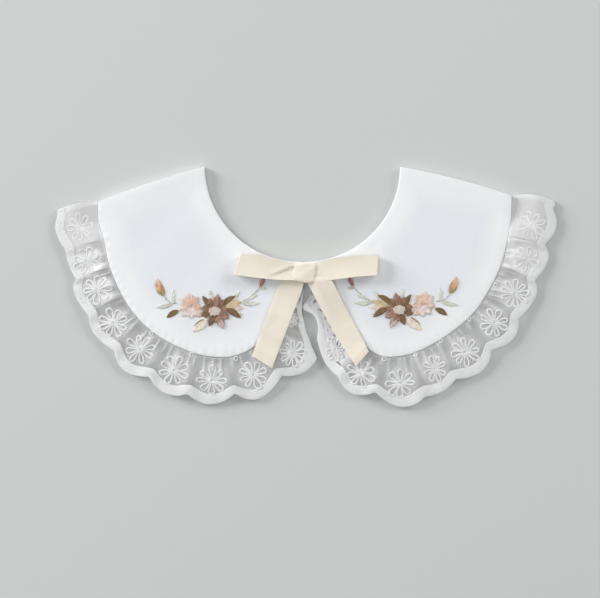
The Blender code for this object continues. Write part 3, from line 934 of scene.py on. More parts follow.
@dataclass
class ClothHalf:
    """One half: the front on top, and the back half folded under it along the shoulder."""

    side: CollarSide
    # Sections from shoulder to centre front, a little closer at the shoulder, and points across each
    rows: int = 250
    first_row: int = 4
    crowding: float = 1.1
    columns: int = 76
    column_crowding: float = 0.35
    # Height of the stack, and the lip of its edge over the back half
    thick: float = 3.3
    lip_under: float = 1.7
    lip_depth: float = 5.0
    neck_step: float = 1.0
    lip_grows_over: float = 12.0
    slim_width: float = 14.0
    # Rounding of the upper edge, and of the step under the lip
    nose: float = 0.3
    step_round: float = 0.55
    step_flat: float = 0.1
    step_drop: float = 0.93
    crown: float = 0.5
    crown_fullness: float = 0.7
    # Roll over the shoulder fold, closed by rings at these angles of its turn
    fold_roll: float = 0.7
    fold_roll_reach: float = 9.0
    fold_setback: float = 0.16
    fold_angles: Row = (10, 20, 32, 45, 58, 70, 80)
    # Turned seam allowance: it rises and ends over these lengths
    allowance: float = 6.0
    allowance_rise: float = 0.07
    allowance_from: float = 0.9
    allowance_starts_over: float = 1.2
    allowance_ends_over: float = 1.4
    # Puckers beside the stitching, at a pitch that drifts
    pucker: float = 0.09
    pucker_pitch: float = 5.6
    pucker_drift: float = 1.4
    pucker_drift_length: float = 8.3
    pucker_inward: float = 1.8
    pucker_reach: float = 2.6
    # Slow sway of the cloth: lengths and starts of its three waves
    sway: float = 0.17
    sway_lengths: Row = (14.0, 18.0, 7.9)
    sway_starts: Row = (0.7, 1.9, 2.2)
    sway_lean: float = 1.3
    sway_lean_left: float = -0.9
    sway_inside: float = 12.0
    flat: Plan = (0.132, 0.128)
    cut_area: float = 0.0112
    pile: MeshPile = field(default_factory=MeshPile)

    def relief(self, points: Array, from_neck: Array, from_seam: Array, foot: float) -> Array:
        """Small height that the sewing and the lie of the cloth add to the top.

        Args:
            points: Plan points.
            from_neck: Their distances from the neckline.
            from_seam: Their distances from the outer seam.
            foot: Distance along the seam, which the puckers follow.

        Returns:
            Heights to add.
        """
        edge = np.minimum(from_neck, from_seam)
        ridge = ease(edge, self.allowance_from, self.allowance_starts_over)
        ridge = ridge * fade(edge, self.allowance, self.allowance_ends_over)
        drift = self.pucker_drift * math.sin(foot / self.pucker_drift_length)
        phase = 2 * np.pi * foot / self.pucker_pitch + drift
        puckers = math.sin(phase) * bell(from_seam - self.pucker_inward, self.pucker_reach)
        x, y = points[:, 0], points[:, 1]
        leaned = x + y * (self.sway_lean if self.side.sign > 0 else self.sway_lean_left)
        one, two, three = (np.sin(place / length + start) for place, length, start
                           in zip((x, y, leaned), self.sway_lengths, self.sway_starts))
        sway = one * two + 0.5 * three
        inside = smoothstep(edge / self.sway_inside)
        return self.allowance_rise * ridge + self.pucker * puckers + self.sway * sway * inside

    def section(self, width: float, foot: float) -> tuple[Array, Array, float]:
        """Outline of a section, round over the top and back under.

        Args:
            width: Width of the half there.
            foot: Distance along the outer seam.

        Returns:
            Distances from the neckline, heights, and the height of the middle of the edge.
        """
        scale = min(1.0, width / self.slim_width)
        grown = float(smoothstep(foot / self.lip_grows_over))
        lip = self.lip_depth * grown * scale
        step = self.neck_step * grown * scale
        under = self.lip_under * grown
        middle = (self.thick + under) / 2
        nose = self.nose * scale
        turn = np.radians(np.linspace(-90, 90, 11))
        rise = np.where(np.sin(turn) > 0, self.thick - middle, middle - under) * np.sin(turn)
        spread = np.linspace(0, 1, self.columns)
        spread = mix(spread, 0.5 - 0.5 * np.cos(np.pi * spread), self.column_crowding)[1:-1]
        low = under * self.step_drop
        back = width - lip - 1.5 * nose
        front = step + 1.5 * nose
        edge = np.radians(np.linspace(90, -90, 7))
        tuck, flat = self.step_round * scale, self.step_flat * scale
        distance = np.concatenate([
            nose * (1 - np.cos(turn)),
            mix(nose, width - nose, spread),
            width - nose * (1 - np.cos(turn[::-1])),
            [back + flat],
            back + tuck * (np.cos(edge) - 1),
            mix(back, front, np.array([0.25, 0.5, 0.75])),
            front - tuck * (np.cos(edge[::-1]) - 1),
            [front - flat],
        ])
        height = np.concatenate([
            middle + rise,
            np.full(len(spread), self.thick),
            middle + rise[::-1],
            [under],
            low * (0.5 + 0.5 * np.sin(edge)),
            [0, 0, 0],
            low * (0.5 + 0.5 * np.sin(edge[::-1])),
            [under],
        ])
        return distance, height, middle

    def ring(self, share: float, foot: float, squeeze: float) -> tuple[Array, Array]:
        """Section of the half from neck to seam and back under.

        Args:
            share: Share of the neckline.
            foot: Distance along the outer seam.
            squeeze: 1 for the full height, less in the roll of the fold.

        Returns:
            Points of the ring, and their lay on the flat cloth.
        """
        ends = self.side.cloth(share, foot, np.array([0.0, 1.0]))
        width = float(np.linalg.norm(ends[1] - ends[0]))
        distance, height, middle = self.section(width, foot)
        across = distance / width
        plan = self.side.cloth(share, foot, across)
        crown = self.crown * np.clip(4 * across * (1 - across), 0, 1) ** self.crown_fullness
        roll = self.fold_roll * bell(self.side.fold_distance(plan), self.fold_roll_reach)
        lift = crown + roll + self.relief(plan, distance, width - distance, foot)
        height = height + lift * np.clip((height - middle) / (self.thick - middle), 0, 1)
        height = self.thick / 2 + (height - self.thick / 2) * squeeze
        inward = np.minimum(np.minimum(distance, width - distance), self.side.fold_distance(plan))
        lay = np.stack([np.full(len(distance), foot), distance, inward], axis=-1)
        return np.column_stack([plan, height]), lay

    def build(self, finish: Material) -> Piece:
        """Make the half and let it stand for its solid.

        Args:
            finish: Its material.

        Returns:
            The half.
        """
        roll = (self.thick + self.fold_roll) / 2
        neckline = math.pi / 2 * sum(NECK_RADII) / 2
        rings = []
        for angle in self.fold_angles:
            setback = self.fold_setback * roll * (1 - math.cos(math.radians(angle)))
            rings.append(self.ring(setback / neckline, setback, math.sin(math.radians(angle))))
        for row in range(self.first_row, self.rows + 1):
            share = (row / self.rows) ** self.crowding
            rings.append(self.ring(share, self.side.foot(share), 1.0))
        self.pile.add_tube(np.stack([ring for ring, _ in rings]), np.stack([lay for _, lay in rings]))
        piece = self.pile.build("half_" + self.side.name, finish, "white_cloth")
        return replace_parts(piece, "panel_" + self.side.name)


@dataclass
class LaceRuffle:
    """Gathered lace of one half: net ground, worked flowers and dots, and a solid scalloped border."""

    side: CollarSide
    flowers: Table
    dots: Table
    overlaps: Table
    eyelets: Table
    solid_from: float
    soft_from: float
    seed: int
    # Where scallops stand on the seam: the least step between two, and the first one's place
    least_step: float = 1.2
    first_foot: float = 2.5
    # Shape of a scallop: how fast it swells from the valley, and how blunt it is
    swell_start: float = 0.006
    swell_power: float = 0.36
    edge_step: float = 0.25
    edge_level: float = 2.6
    edge_swing: float = 0.46
    rim_softness: float = 0.55
    inside_softness: float = 2.6
    soft_share: float = 0.8
    soft_over: float = 0.4
    crisp_from: Plan = (0.6, 0.4)
    # How the lace leaves the seam: height, tuck under the cloth, and the rise under its lip
    seam_top: float = 1.4
    seam_gap: float = 0.25
    seam_rise: float = 1.8
    seam_rises: Plan = (-0.3, 0.3)
    seam_falls: Plan = (0.04, 0.5)
    tuck: float = 3.0
    neck_tuck: float = 1.4
    shoulder_tuck: float = -0.4
    grows: Plan = (9.0, 14.0)
    nears_neck: Plan = (0.75, 0.1)
    bow_fades_over: float = 6.0
    rise_power: float = 1.1
    puff: float = 0.9
    # Soft waves of the gathers, calmer in the solid lace at the front
    gather: float = 0.45
    gather_starts_over: float = 0.3
    gather_fades: float = 0.6
    gather_starts: float = 1.5
    solid_over: float = 0.3
    solid_calm: float = 0.8
    # The doubled stretch at the shoulder, where the back ruffle shows through
    doubled_until: Plan = (23.8, 10.2)
    doubled_fades: Plan = (0.5, 0.5)
    doubled_extra: float = 0.8
    doubled_closed: float = 0.5
    doubled_net: float = 0.35
    turned_until: Plan = (1.97, 0.05)
    # Closeness of the net further on: how much, from which scallop it fades, and over how many
    closeness: Table = ((0.15, 3.6, 1.0), (0.5, 0.3, 0.8))
    gathered_closed: float = 0.45
    gathered_until: Plan = (2.9, 0.5)
    header: float = 0.45
    header_until: Plan = (0.01, 0.05)
    solid_closed: float = 1.35
    most_closed: float = 1.6
    # One stretch of net over the next
    overlap: float = 1.1
    overlap_rise: float = 0.22
    overlap_falls: Plan = (0.3, 0.4)
    overlap_end: float = 0.03
    overlap_closed: float = 0.42
    overlap_opens: float = 0.6
    overlap_opens_from: Plan = (0.3, 0.5)
    # Small folds from the seam: pitch, then the ranges of their height, width, reach and lean
    fold_pitch: float = 5.2
    fold_height: Plan = (0.25, 0.75)
    fold_width: Plan = (0.5, 1.9)
    fold_reach: Plan = (0.3, 0.8)
    fold_lean: float = 1.8
    fold_starts_over: float = 0.08
    fold_whole: float = 0.4
    folds_from: float = 30.6
    fold_closed: float = 0.5
    fold_calm: float = 0.4
    fold_full_from: float = 2.2
    # The net under its upper face, and the stretch that turns under
    net_drop: float = 0.45
    under_drop: float = 1.9
    under_least: float = 0.35
    roll_drop: float = 1.15
    roll_out: float = 0.25
    roll_least: float = 0.5
    scallop_length: float = 26.0
    depth: float = 31.0
    flower_closed: float = 0.55
    flower_until: Plan = (0.85, 0.5)
    eyelet_open: float = 3.0
    eyelet_inner: float = 0.6
    eyelet_leans: Plan = (-0.5, 0.7)
    eyelet_long: float = 0.85
    # The solid border: where it starts, its dome, its groove and its cords
    band_from: float = 0.12
    band_narrow: float = 0.745
    band_wide: float = 0.79
    band_front: float = 0.86
    narrow_from: Plan = (11.9, 0.6)
    dome: float = 0.27
    groove: float = 0.10
    groove_place: float = 0.3
    groove_width: float = 0.06
    cord: float = 0.06
    cord_pitch: float = 1.15
    edge_wander: float = 0.10
    edge_wander_lengths: Plan = (1.9, 5.3)
    edge_wander_share: Row = (0.4, 0.8, 1.0)
    border_sink: float = 0.35
    border_least: float = 0.32
    border_width: float = 6.5
    # Worked threads
    bare_below: float = 0.4
    thread_half: float = 0.52
    thread_widths: Plan = (0.85, 1.25)
    petal_sizes: Plan = (0.90, 1.05)
    petal_widths: Plan = (0.38, 0.62)
    petal_wander: float = 0.10
    petal_lean: float = 0.5
    flower_tall: Plan = (0.11, 0.27)
    flower_grows_by: float = 3.0
    flower_sunk: float = 0.42
    stitch_ridge: float = 0.13
    stitch_pitch: float = 0.85
    flat: Plan = (0.033, 0.338)
    cut_area: float = 0.0101
    net: MeshPile = field(default_factory=MeshPile)
    border: MeshPile = field(default_factory=MeshPile)
    threads: MeshPile = field(default_factory=MeshPile)

    def __post_init__(self) -> None:
        """Work out where the scallops stand on the seam, and where small folds run."""
        self.starts = np.array([row[:3] for row in self.side.scallops] + [self.side.last_valley])
        self.tips = np.array([row[3:] for row in self.side.scallops])
        feet = [0.0]
        for x, y, _ in self.starts[1:]:
            feet.append(max(self.side.seam.nearest(x, y), feet[-1] + self.least_step))
        feet[1] = self.first_foot
        self.feet = np.array(feet)
        self.trace_edge()
        self.folds = self.draw_folds()

    def draw_folds(self) -> list[tuple[float, ...]]:
        """Draw the small folds that run out from the seam.

        Returns:
            For each its place on the seam, height, width, reach and lean.
        """
        draw = random.Random(self.seed)
        count = int(self.side.seam.length / self.fold_pitch)
        spots = [self.fold_pitch * (number + draw.uniform(0.15, 0.85)) for number in range(count)]
        folds = []
        for spot in spots:
            if spot > self.folds_from:
                tall = draw.uniform(*self.fold_height)
                wide = draw.uniform(*self.fold_width)
                fades = draw.uniform(*self.fold_reach)
                folds.append((spot, tall, wide, fades, draw.uniform(-self.fold_lean, self.fold_lean)))
        return folds

    def trace_edge(self) -> None:
        """Follow the scalloped edge, crisp for its rim and softer for the rows inside it."""
        count = len(self.tips)
        phase = np.linspace(0, count, 400 * count + 1)
        index = np.clip(np.floor(phase), 0, count - 1).astype(int)
        share = (phase - index)[:, None]
        start, following, tip = self.starts[index], self.starts[index + 1], self.tips[index]
        swell = (np.sin(np.pi * share) ** 2 + self.swell_start) ** self.swell_power
        swell = swell - self.swell_start ** self.swell_power
        edge = mix(start, following, share)
        edge[:, :2] += (tip - (start + following) / 2)[:, :2] * swell
        edge[:, 2:] = mix(edge[:, 2:], tip[:, 2:], np.sin(np.pi * share) ** 2)
        edge[:, 2] = mix(self.edge_level, edge[:, 2], self.edge_swing)
        reach = travelled(edge[:, :2])
        even = np.arange(0.0, reach[-1] + self.edge_step, self.edge_step)
        table = read_columns(even, reach, edge)
        self.edge_phase = np.interp(even, reach, phase)
        self.inside = smoothed(table, self.inside_softness / self.edge_step)
        crisp = smoothed(table, self.rim_softness / self.edge_step)
        strip = ease(self.edge_phase, self.soft_from, self.soft_over)[:, None]
        self.rim = mix(crisp, self.inside, self.soft_share * strip)
        self.rim[:, 2] = self.inside[:, 2]

    def edge(self, phase: Array, reach: Array) -> Array:
        """Points of the scalloped edge that the lace at a reach heads for.

        Args:
            phase: Number of the scallop and the share along it.
            reach: Share of the way from the seam to the edge.

        Returns:
            Points x, y, z.
        """
        inside = read_columns(phase, self.edge_phase, self.inside)
        rim = read_columns(phase, self.edge_phase, self.rim)
        return mix(inside, rim, ease(reach, *self.crisp_from)[..., None])

    def surface(self, phase: Array, reach: Array) -> tuple[Array, Array]:
        """Upper face of the lace.

        Args:
            phase: Number of the scallop and the share along it, from the shoulder fold.
            reach: -1 under the lip of the cloth, 0 just outside it and 1 at the scalloped edge.

        Returns:
            Points x, y, z, and how closely each is gathered, from 0 up to most_closed.
        """
        phase, reach = np.broadcast_arrays(phase, reach)
        index = np.clip(np.floor(phase), 0, len(self.tips) - 1).astype(int)
        foot = mix(self.feet[index], self.feet[index + 1], np.clip(phase - index, 0, 1))
        edge = self.edge(phase, reach)
        grown = ease(foot, *self.grows)
        plan = self.plan(foot, reach, edge[..., :2], grown)
        risen = self.seam_rise * ease(reach, *self.seam_rises) * grown
        reach = np.clip(reach, 0, 1)
        solid = ease(phase, self.solid_from, self.solid_over)
        calm = 1 - self.solid_calm * solid
        doubled = fade(foot, *self.doubled_until)
        height = self.seam_top + (edge[..., 2] - self.seam_top) * np.sin(np.pi / 2 * reach) ** self.rise_power
        height = height + self.puff * calm * np.sin(np.pi * reach) ** 2
        wave = self.gather * np.cos(4 * np.pi * phase) * smoothstep(reach / self.gather_starts_over)
        wave = wave * (1 - self.gather_fades * reach) * smoothstep(phase - self.gather_starts)
        height = height + wave * calm
        height = height + doubled * self.doubled_extra * fade(reach, *self.doubled_fades)
        height = height + risen * fade(reach, *self.seam_falls)
        turned = fade(phase, *self.turned_until)
        closed = self.doubled_closed * turned + self.doubled_net * doubled
        closed = closed + self.gathered_closed * (1 - turned) * fade(phase, *self.gathered_until)
        for amount, until, over in self.closeness:
            closed = closed + amount * fade(phase, until, over)
        closed = closed + self.header * fade(reach, *self.header_until) * grown + self.solid_closed * solid
        for starts, full, ends, strength in self.overlaps:
            step = strength * ease(phase, starts, full - starts) * fade(phase, ends, self.overlap_end)
            rises = smoothstep(reach / self.overlap_rise) * fade(reach, *self.overlap_falls)
            height = height + self.overlap * step * rises
            opened = self.overlap_opens * ease(reach, *self.overlap_opens_from)
            closed = closed + self.overlap_closed * step * (1 - opened)
        fullness = calm * mix(self.fold_calm, 1.0, smoothstep(phase - self.fold_full_from))
        for spot, tall, wide, fades, lean in self.folds:
            near = bell(foot - spot - lean * reach, wide)
            ends = fade(reach, fades * self.fold_whole, fades * (1 - self.fold_whole))
            keep = smoothstep(reach / self.fold_starts_over) * ends
            height = height + tall * near * keep * fullness
            closed = closed + self.fold_closed * near * keep
        return np.concatenate([plan, height[..., None]], axis=-1), np.clip(closed, 0, self.most_closed)

    def plan(self, foot: Array, reach: Array, edge: Array, grown: Array) -> Array:
        """Plan points between the seam and the edge.

        Args:
            foot: Distances along the seam.
            reach: As for the surface.
            edge: Plan points of the edge that they head for.
            grown: 0 at the shoulder fold, 1 where the lace is tucked in fully.

        Returns:
            Points x, y.
        """
        out = self.side.outward(foot)
        seam = self.side.seam.at(foot)
        near_neck = ease(foot / self.side.seam.length, *self.nears_neck)
        tuck = mix(self.shoulder_tuck, mix(self.tuck, self.neck_tuck, near_neck), grown)
        inner = seam - out * tuck[..., None]
        outer = seam + out * np.maximum(self.seam_gap, 0.5 - tuck)[..., None]
        beyond = np.clip(reach, 0, 1)[..., None]
        plan = mix(inner, outer, np.clip(reach + 1, 0, 1)[..., None]) + (edge - outer) * beyond
        bow = self.side.lace_bow * 4 * beyond * (1 - beyond) * np.exp(-foot / self.bow_fades_over)[..., None]
        return plan + bow * self.side.fold_normal()

    def band_start(self, phase: Array) -> Array:
        """Reach where the solid border starts: deeper between two scallops."""
        wide = mix(self.band_narrow, self.band_wide, np.sin(np.pi * (phase - np.floor(phase))) ** 2)
        return mix(wide, self.band_front, ease(phase, *self.narrow_from))

    def phases(self, pitch: float, start: float = 0.0, end: float | None = None) -> Array:
        """Phases at an even pitch along the scalloped edge.

        Args:
            pitch: The pitch in millimetres.
            start: Phase to start from.
            end: Phase to end at, the last scallop's end unless given.

        Returns:
            The phases.
        """
        end = len(self.tips) if end is None else end
        fine = np.linspace(start, end, 4000)
        points, _ = self.surface(fine, np.full(len(fine), 1.0))
        reach = travelled(points[:, :2])
        return np.interp(np.linspace(0, reach[-1], max(8, int(reach[-1] / pitch))), reach, fine)

    def closed_by_work(self, points: Array, closed: Array) -> Array:
        """Close the net round the flowers, and open it at the eyelets.

        Args:
            points: Points of the net.
            closed: How closely each is gathered.

        Returns:
            The same, with the work in it.
        """
        for x, y, radius, *_ in self.flowers[1:]:
            apart = np.linalg.norm(points[..., :2] - (x, y), axis=-1) / radius
            closed = closed + self.flower_closed * fade(apart, *self.flower_until)
        for number, (x, y, radius) in enumerate(self.eyelets):
            along, up = points[..., 0] - x, points[..., 1] - y
            apart = np.hypot(along + self.eyelet_leans[number % 2] * up, up * self.eyelet_long)
            inner = self.eyelet_inner * radius
            closed = closed - self.eyelet_open * fade(apart, inner, inner)
        return closed

    def build_net(self, finish: Material) -> Piece:
        """Make the net, with the stretch that turns under at the shoulder.

        Args:
            finish: Its material.

        Returns:
            The net.
        """
        reach = np.concatenate([[-1.0, -0.3, -0.12, 0.0], np.linspace(0.03, 0.97, 44)])
        over = self.phases(pitch=0.5)[:, None]
        turned = self.phases(pitch=0.8, end=2.6)[::-1][:, None]
        points, closed = self.surface(over, reach)
        points[..., 2] -= self.net_drop
        closed = self.closed_by_work(points, closed)
        beneath, closed_under = self.surface(turned, np.clip(reach, -0.2, 1.0))
        beneath[..., 2] = np.maximum(beneath[..., 2] - self.under_drop, self.under_least)
        roll, closed_roll = self.surface(np.zeros((1, 1)), reach)
        roll = roll + [*(self.roll_out * self.side.fold_normal()), -self.roll_drop]
        roll[..., 2] = np.maximum(roll[..., 2], self.roll_least)
        whole = np.concatenate([beneath, roll, points])
        lay = np.zeros(whole.shape)
        lay[..., 0] = np.concatenate([-turned, [[-0.02]], over])[:, :1] * self.scallop_length
        lay[..., 1] = reach * self.depth
        lay[..., 2] = np.concatenate([closed_under, closed_roll, closed])
        self.net.add(whole, grid_faces(*whole.shape[:2]), lay)
        return self.net.build("lace_net_" + self.side.name, finish, "white_lace")

    def add_band(self, phases: Array, drop: float, thick: float) -> None:
        """Add one stretch of the raised border.

        Args:
            phases: Where its sections stand.
            drop: How far it lies under the upper face of the lace.
            thick: Height of the wall.
        """
        share = np.linspace(0, 1, 15)
        tread = mix(self.band_start(phases)[:, None], 1.0, share)
        top, _ = self.surface(phases[:, None], tread)
        steps = travelled(top[:, -1, :2])
        dome = self.dome * (1 - np.abs(2 * share - 1) ** 3)
        dome = dome - self.groove * bell(share - self.groove_place, self.groove_width)
        cord = self.cord * np.cos(2 * np.pi * steps / self.cord_pitch)[:, None]
        cord = cord * np.sin(np.pi * share)
        short, long = self.edge_wander_lengths
        wander = self.edge_wander * np.sin(steps / short) * np.sin(steps / long + 1.0)
        top[..., 2] += dome + cord - self.border_sink - drop
        under = top[:, ::-1][:, 1:-1].copy()
        under[..., 2] -= thick * np.sin(np.pi * share[1:-1]) ** 0.5 + dome[::-1][1:-1]
        under[..., 2] = np.maximum(under[..., 2], self.border_least)
        out = self.side.outward(mix(self.feet[0], self.feet[-1], phases / len(self.tips)))
        moved = (out * wander[:, None])[:, None, :]
        top[:, -3:, :2] += moved * np.array(self.edge_wander_share)[:, None]
        rings = np.concatenate([top, under], axis=1)
        lay = np.zeros(rings.shape)
        lay[..., 0] = steps[:, None]
        lay[..., 1] = np.concatenate([share, share[::-1][1:-1]]) * self.border_width
        self.border.add_tube(rings, lay)

    def build_border(self, finish: Material) -> Piece:
        """Make the border, once along the edge and once on the stretch that turns under.

        Args:
            finish: Its material.

        Returns:
            The border.
        """
        self.add_band(self.phases(pitch=0.34, start=self.band_from), drop=0.0, thick=0.8)
        self.add_band(self.phases(pitch=0.6, start=self.band_from, end=2.0), drop=1.15, thick=0.5)
        return self.border.build("lace_border_" + self.side.name, finish, "white_lace")

    def lay_thread(self, ground: Ground, path: Array, wide: float, tall: float, lift: float = 0.12) -> None:
        """Lay a worked thread on the net, with its stitches raised in rows.

        Args:
            ground: What it lies on.
            path: Its middle, a row of x, y for each step.
            wide: Its half width.
            tall: Its half height.
            lift: How far its middle is above the ground.
        """
        heights = ground.heights(path)
        heights = np.where(heights > self.bare_below, heights, heights.max())
        heights = np.convolve(np.pad(heights, 2, mode="edge"), np.ones(5) / 5, mode="valid")
        steps = travelled(path)
        ridge = 1 + self.stitch_ridge * np.cos(2 * np.pi * steps / self.stitch_pitch)
        ends = ease(np.minimum(steps, steps[-1] - steps), -0.15, 0.5)
        points = np.column_stack([path, heights + lift])
        add_thread(self.threads, points, wide * ridge * ends, tall * ridge * ends, 6, start=float(steps[-1]))

    def flower(self, ground: Ground, row: Row, draw: random.Random) -> None:
        """Work one flower of open looped petals.

        Args:
            ground: What it lies on.
            row: Its row of the flower table.
            draw: Source of small differences.
        """
        x, y, radius, petals, turn, narrow, axis = row
        tall = mix(*self.flower_tall, min(self.flowers.index(row) / self.flower_grows_by, 1.0))
        lean = math.radians(axis)
        long_way = np.array([math.cos(lean), math.sin(lean)])
        short_way = np.array([-math.sin(lean), math.cos(lean)])
        share = np.linspace(0.0, 1.0, 44)
        for petal in range(petals):
            shift = draw.uniform(-self.petal_wander, self.petal_wander)
            angle = math.radians(turn) + 2 * math.pi * (petal + shift) / petals
            size = radius * draw.uniform(*self.petal_sizes)
            wide = 2 * size * math.sin(math.pi / petals) * draw.uniform(*self.petal_widths)
            lean_over = draw.uniform(-self.petal_lean, self.petal_lean)
            along = 0.35 + (size - 0.7) * np.sin(np.pi * share) ** 0.9
            across = wide / 2 * np.sin(2 * np.pi * share) * (0.6 + 0.4 * along / size)
            local = turned_by(np.column_stack([along, across + lean_over * (along / size) ** 2]), angle)
            placed = np.outer(local @ long_way, long_way) + narrow * np.outer(local @ short_way, short_way)
            thick = self.thread_half * draw.uniform(*self.thread_widths)
            self.lay_thread(ground, (x, y) + placed, thick, tall, self.flower_sunk * tall)

    def dot(self, ground: Ground, x: float, y: float, radius: float) -> None:
        """Work one small ring near the seam.

        Args:
            ground: What it lies on.
            x: Its middle.
            y: Its middle.
            radius: Its radius.
        """
        angle = np.linspace(0, 2 * math.pi, 16)
        ring = np.column_stack([x + radius * np.cos(angle), y + radius * np.sin(angle)])
        self.lay_thread(ground, ring, wide=0.42, tall=0.32)

    def build_threads(self, finish: Material) -> Piece:
        """Work every flower and dot on the net.

        Args:
            finish: Their material.

        Returns:
            The threads.
        """
        ground = Ground([self.net, self.border])
        draw = random.Random(self.seed + 1)
        for row in self.flowers:
            self.flower(ground, row, draw)
        for x, y, radius in self.dots:
            self.dot(ground, x, y, radius)
        return self.threads.build("lace_flowers_" + self.side.name, finish, "white_lace")


@dataclass
class RibbonBow:
    """Bow of one ribbon: two tails, two flattened loops and the knot over their roots."""

    ground: Ground
    width: float = 15.0
    wall: float = 0.6
    # Crease by the knot: its depth, how fast it opens, and the brow along it
    crease_depth: float = 0.95
    crease_opens_over: float = 3.0
    crease_lip: float = -0.6
    crease_comes: Plan = (-0.1, 0.8)
    crease_ends: Plan = (0.93, 0.12)
    crease_edge: Plan = (1.6, 0.7)
    brow: float = 0.22
    brow_place: float = 1.6
    brow_width: float = 1.5
    # Tails: clearance over the ground, how much they even it out, and how they leave the loops
    clear: float = 0.35
    settle: float = 0.85
    tail_rows: int = 110
    tail_columns: int = 26
    ground_rows: int = 17
    ground_reach: float = 2.0
    tail_twist: float = 0.12
    tail_twist_length: float = 9.0
    tail_edge: float = 0.18
    loop_level: float = 7.6
    falls_from: float = 2.0
    falls_over: float = 44.0
    side_lags: Plan = (0.5, 0.35)
    hides_from: Plan = (4.6, 3.2)
    root_lift: Plan = (0.5, 1.2)
    root_length: float = 24.0
    # Loops: points along a face, and of its turn at the far end
    loop_rows: int = 24
    face_points: int = 44
    turn_from: float = 0.985
    turn_middle: float = 0.991
    turn_half: float = 0.009
    turn_angles: Row = (-80, 80, 17)
    pleat: float = 0.12
    pleats: float = 2.2
    pleat_length: float = 7.0
    sag: float = 0.45
    knot_side: float = 6.3
    knot_side_top: float = 15.3
    knot_side_slant: float = 0.12
    knot_press: float = 0.4
    knot_press_width: float = 0.45
    # Knot: its lowest height, points each way, and how round its section is
    knot_bottom: float = 5.6
    knot_points: int = 64
    knot_round: Plan = (0.42, 0.72)
    knot_end_rows: float = 3.0
    knot_ends: Plan = (0.97, 0.9)
    knot_slant: float = 1.5
    knot_slants: Plan = (-2.0, 8.0)
    # Soft pleats that the pull on the loops leaves across the knot
    knot_pull: float = 0.12
    pull_waves: float = 2.1 / 2.6
    pull_lean: float = 0.55
    pull_start: float = 0.8
    pull_place: Plan = (1.0, 7.0)

    def crease(self, points: Array) -> Array:
        """Depth of the crease where the left loop is drawn into the knot.

        Args:
            points: Points of the loop or knot, of which x and y are read.

        Returns:
            Depths.
        """
        start, end = np.array(CREASE[0]), np.array(CREASE[1])
        line = end - start
        length = float(np.linalg.norm(line))
        line /= length
        offset = points[..., :2] - start
        along = offset @ line / length
        below = -(offset @ np.array([-line[1], line[0]]))
        strength = ease(along, *self.crease_comes) * fade(along, *self.crease_ends)
        opening = np.exp(-np.clip(below, 0, None) / self.crease_opens_over)
        hollow = np.where(below > self.crease_lip, opening, 0.0)
        edge = ease(below, self.crease_lip, mix(*self.crease_edge, along))
        brow = self.brow * bell(below + self.brow_place, self.brow_width)
        return strength * (self.crease_depth * hollow * edge - brow)

    def over_loop(self, distance: Array, share: Array, up: Array) -> tuple[Array, Array]:
        """How far the right tail comes up over the loop that it leaves.

        Args:
            distance: Distances from its start.
            share: Shares across it.
            up: Where its points stand on the plan, towards the shoulders.

        Returns:
            Share of the way up to the top of the loop, and a drop that hides its first edge.
        """
        way = np.clip((distance - self.falls_from) / self.falls_over, 0, 1)
        falls = 1 - mix(way, smoothstep(way), 0.5)
        lag, over = self.side_lags
        return falls[:, None] * mix(lag, 1.0, smoothstep(share / over)), ease(up, *self.hides_from)

    def floor_under(self, line: Curve, distance: Array, share: Array) -> Array:
        """Heights of what a tail lies on, evened out as a ribbon does.

        Args:
            line: Both sides of the tail.
            distance: Distances from its start.
            share: Shares across it.

        Returns:
            A height for each distance and share.
        """
        even = np.linspace(0, line.length, self.ground_rows)
        rough = line.at(even)
        shares = np.linspace(0.0, 1.0, 5)
        places = mix(rough[:, None, 0:2], rough[:, None, 2:4], shares[None, :, None])
        floor = np.array([[self.ground.around(x, y, self.ground_reach) for x, y in row] for row in places])
        floor = mix(floor, floor.max(axis=1, keepdims=True), self.settle) + self.clear
        padded = np.pad(floor, ((1, 1), (0, 0)), mode="edge")
        floor = np.maximum(floor, (padded[:-2] + padded[1:-1] + padded[2:]) / 3)
        heights = Curve(np.column_stack([even, floor[:, 0] * 0, floor])).dense
        smooth = read_columns(distance, heights[:, 0], heights[:, 2:])
        return np.stack([np.interp(share, shares, row) for row in smooth])

    def tail(self, name: str, table: Table, finish: Material) -> Piece:
        """Make a tail that lies on the cloth and lace under it.

        Args:
            name: Which tail.
            table: Its sections.
            finish: Its material.

        Returns:
            The tail.
        """
        line = Curve(table)
        rows, columns = self.tail_rows, self.tail_columns
        distance = np.linspace(0, line.length, rows)
        sides = line.at(distance)
        share = np.linspace(0, 1, columns)
        plan = mix(sides[:, None, 0:2], sides[:, None, 2:4], share[None, :, None])
        under = self.floor_under(line, distance, share)
        twist = np.sin(distance / self.tail_twist_length)[:, None] * (2 * share - 1)
        under = under + np.abs(self.tail_twist * twist)
        if name.endswith("right"):
            risen, hidden = self.over_loop(distance, share, plan[..., 1])
            under = mix(under, np.maximum(under, self.loop_level), risen) - hidden
        else:
            under = under + np.outer(fade(distance, 0.0, self.root_length), mix(*self.root_lift, share))
        top = under + self.wall - self.tail_edge * np.abs(2 * share - 1) ** 10
        lay = np.zeros((rows, columns, 3))
        lay[..., 0] = distance[:, None]
        lay[..., 1] = share * self.width
        pile = MeshPile()
        add_slab(pile, np.dstack([plan, top]), np.dstack([plan, under]), lay)
        piece = pile.build("ribbon_" + name, finish, "cream_ribbon", 40.0)
        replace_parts(piece, "bow_" + name)
        return piece

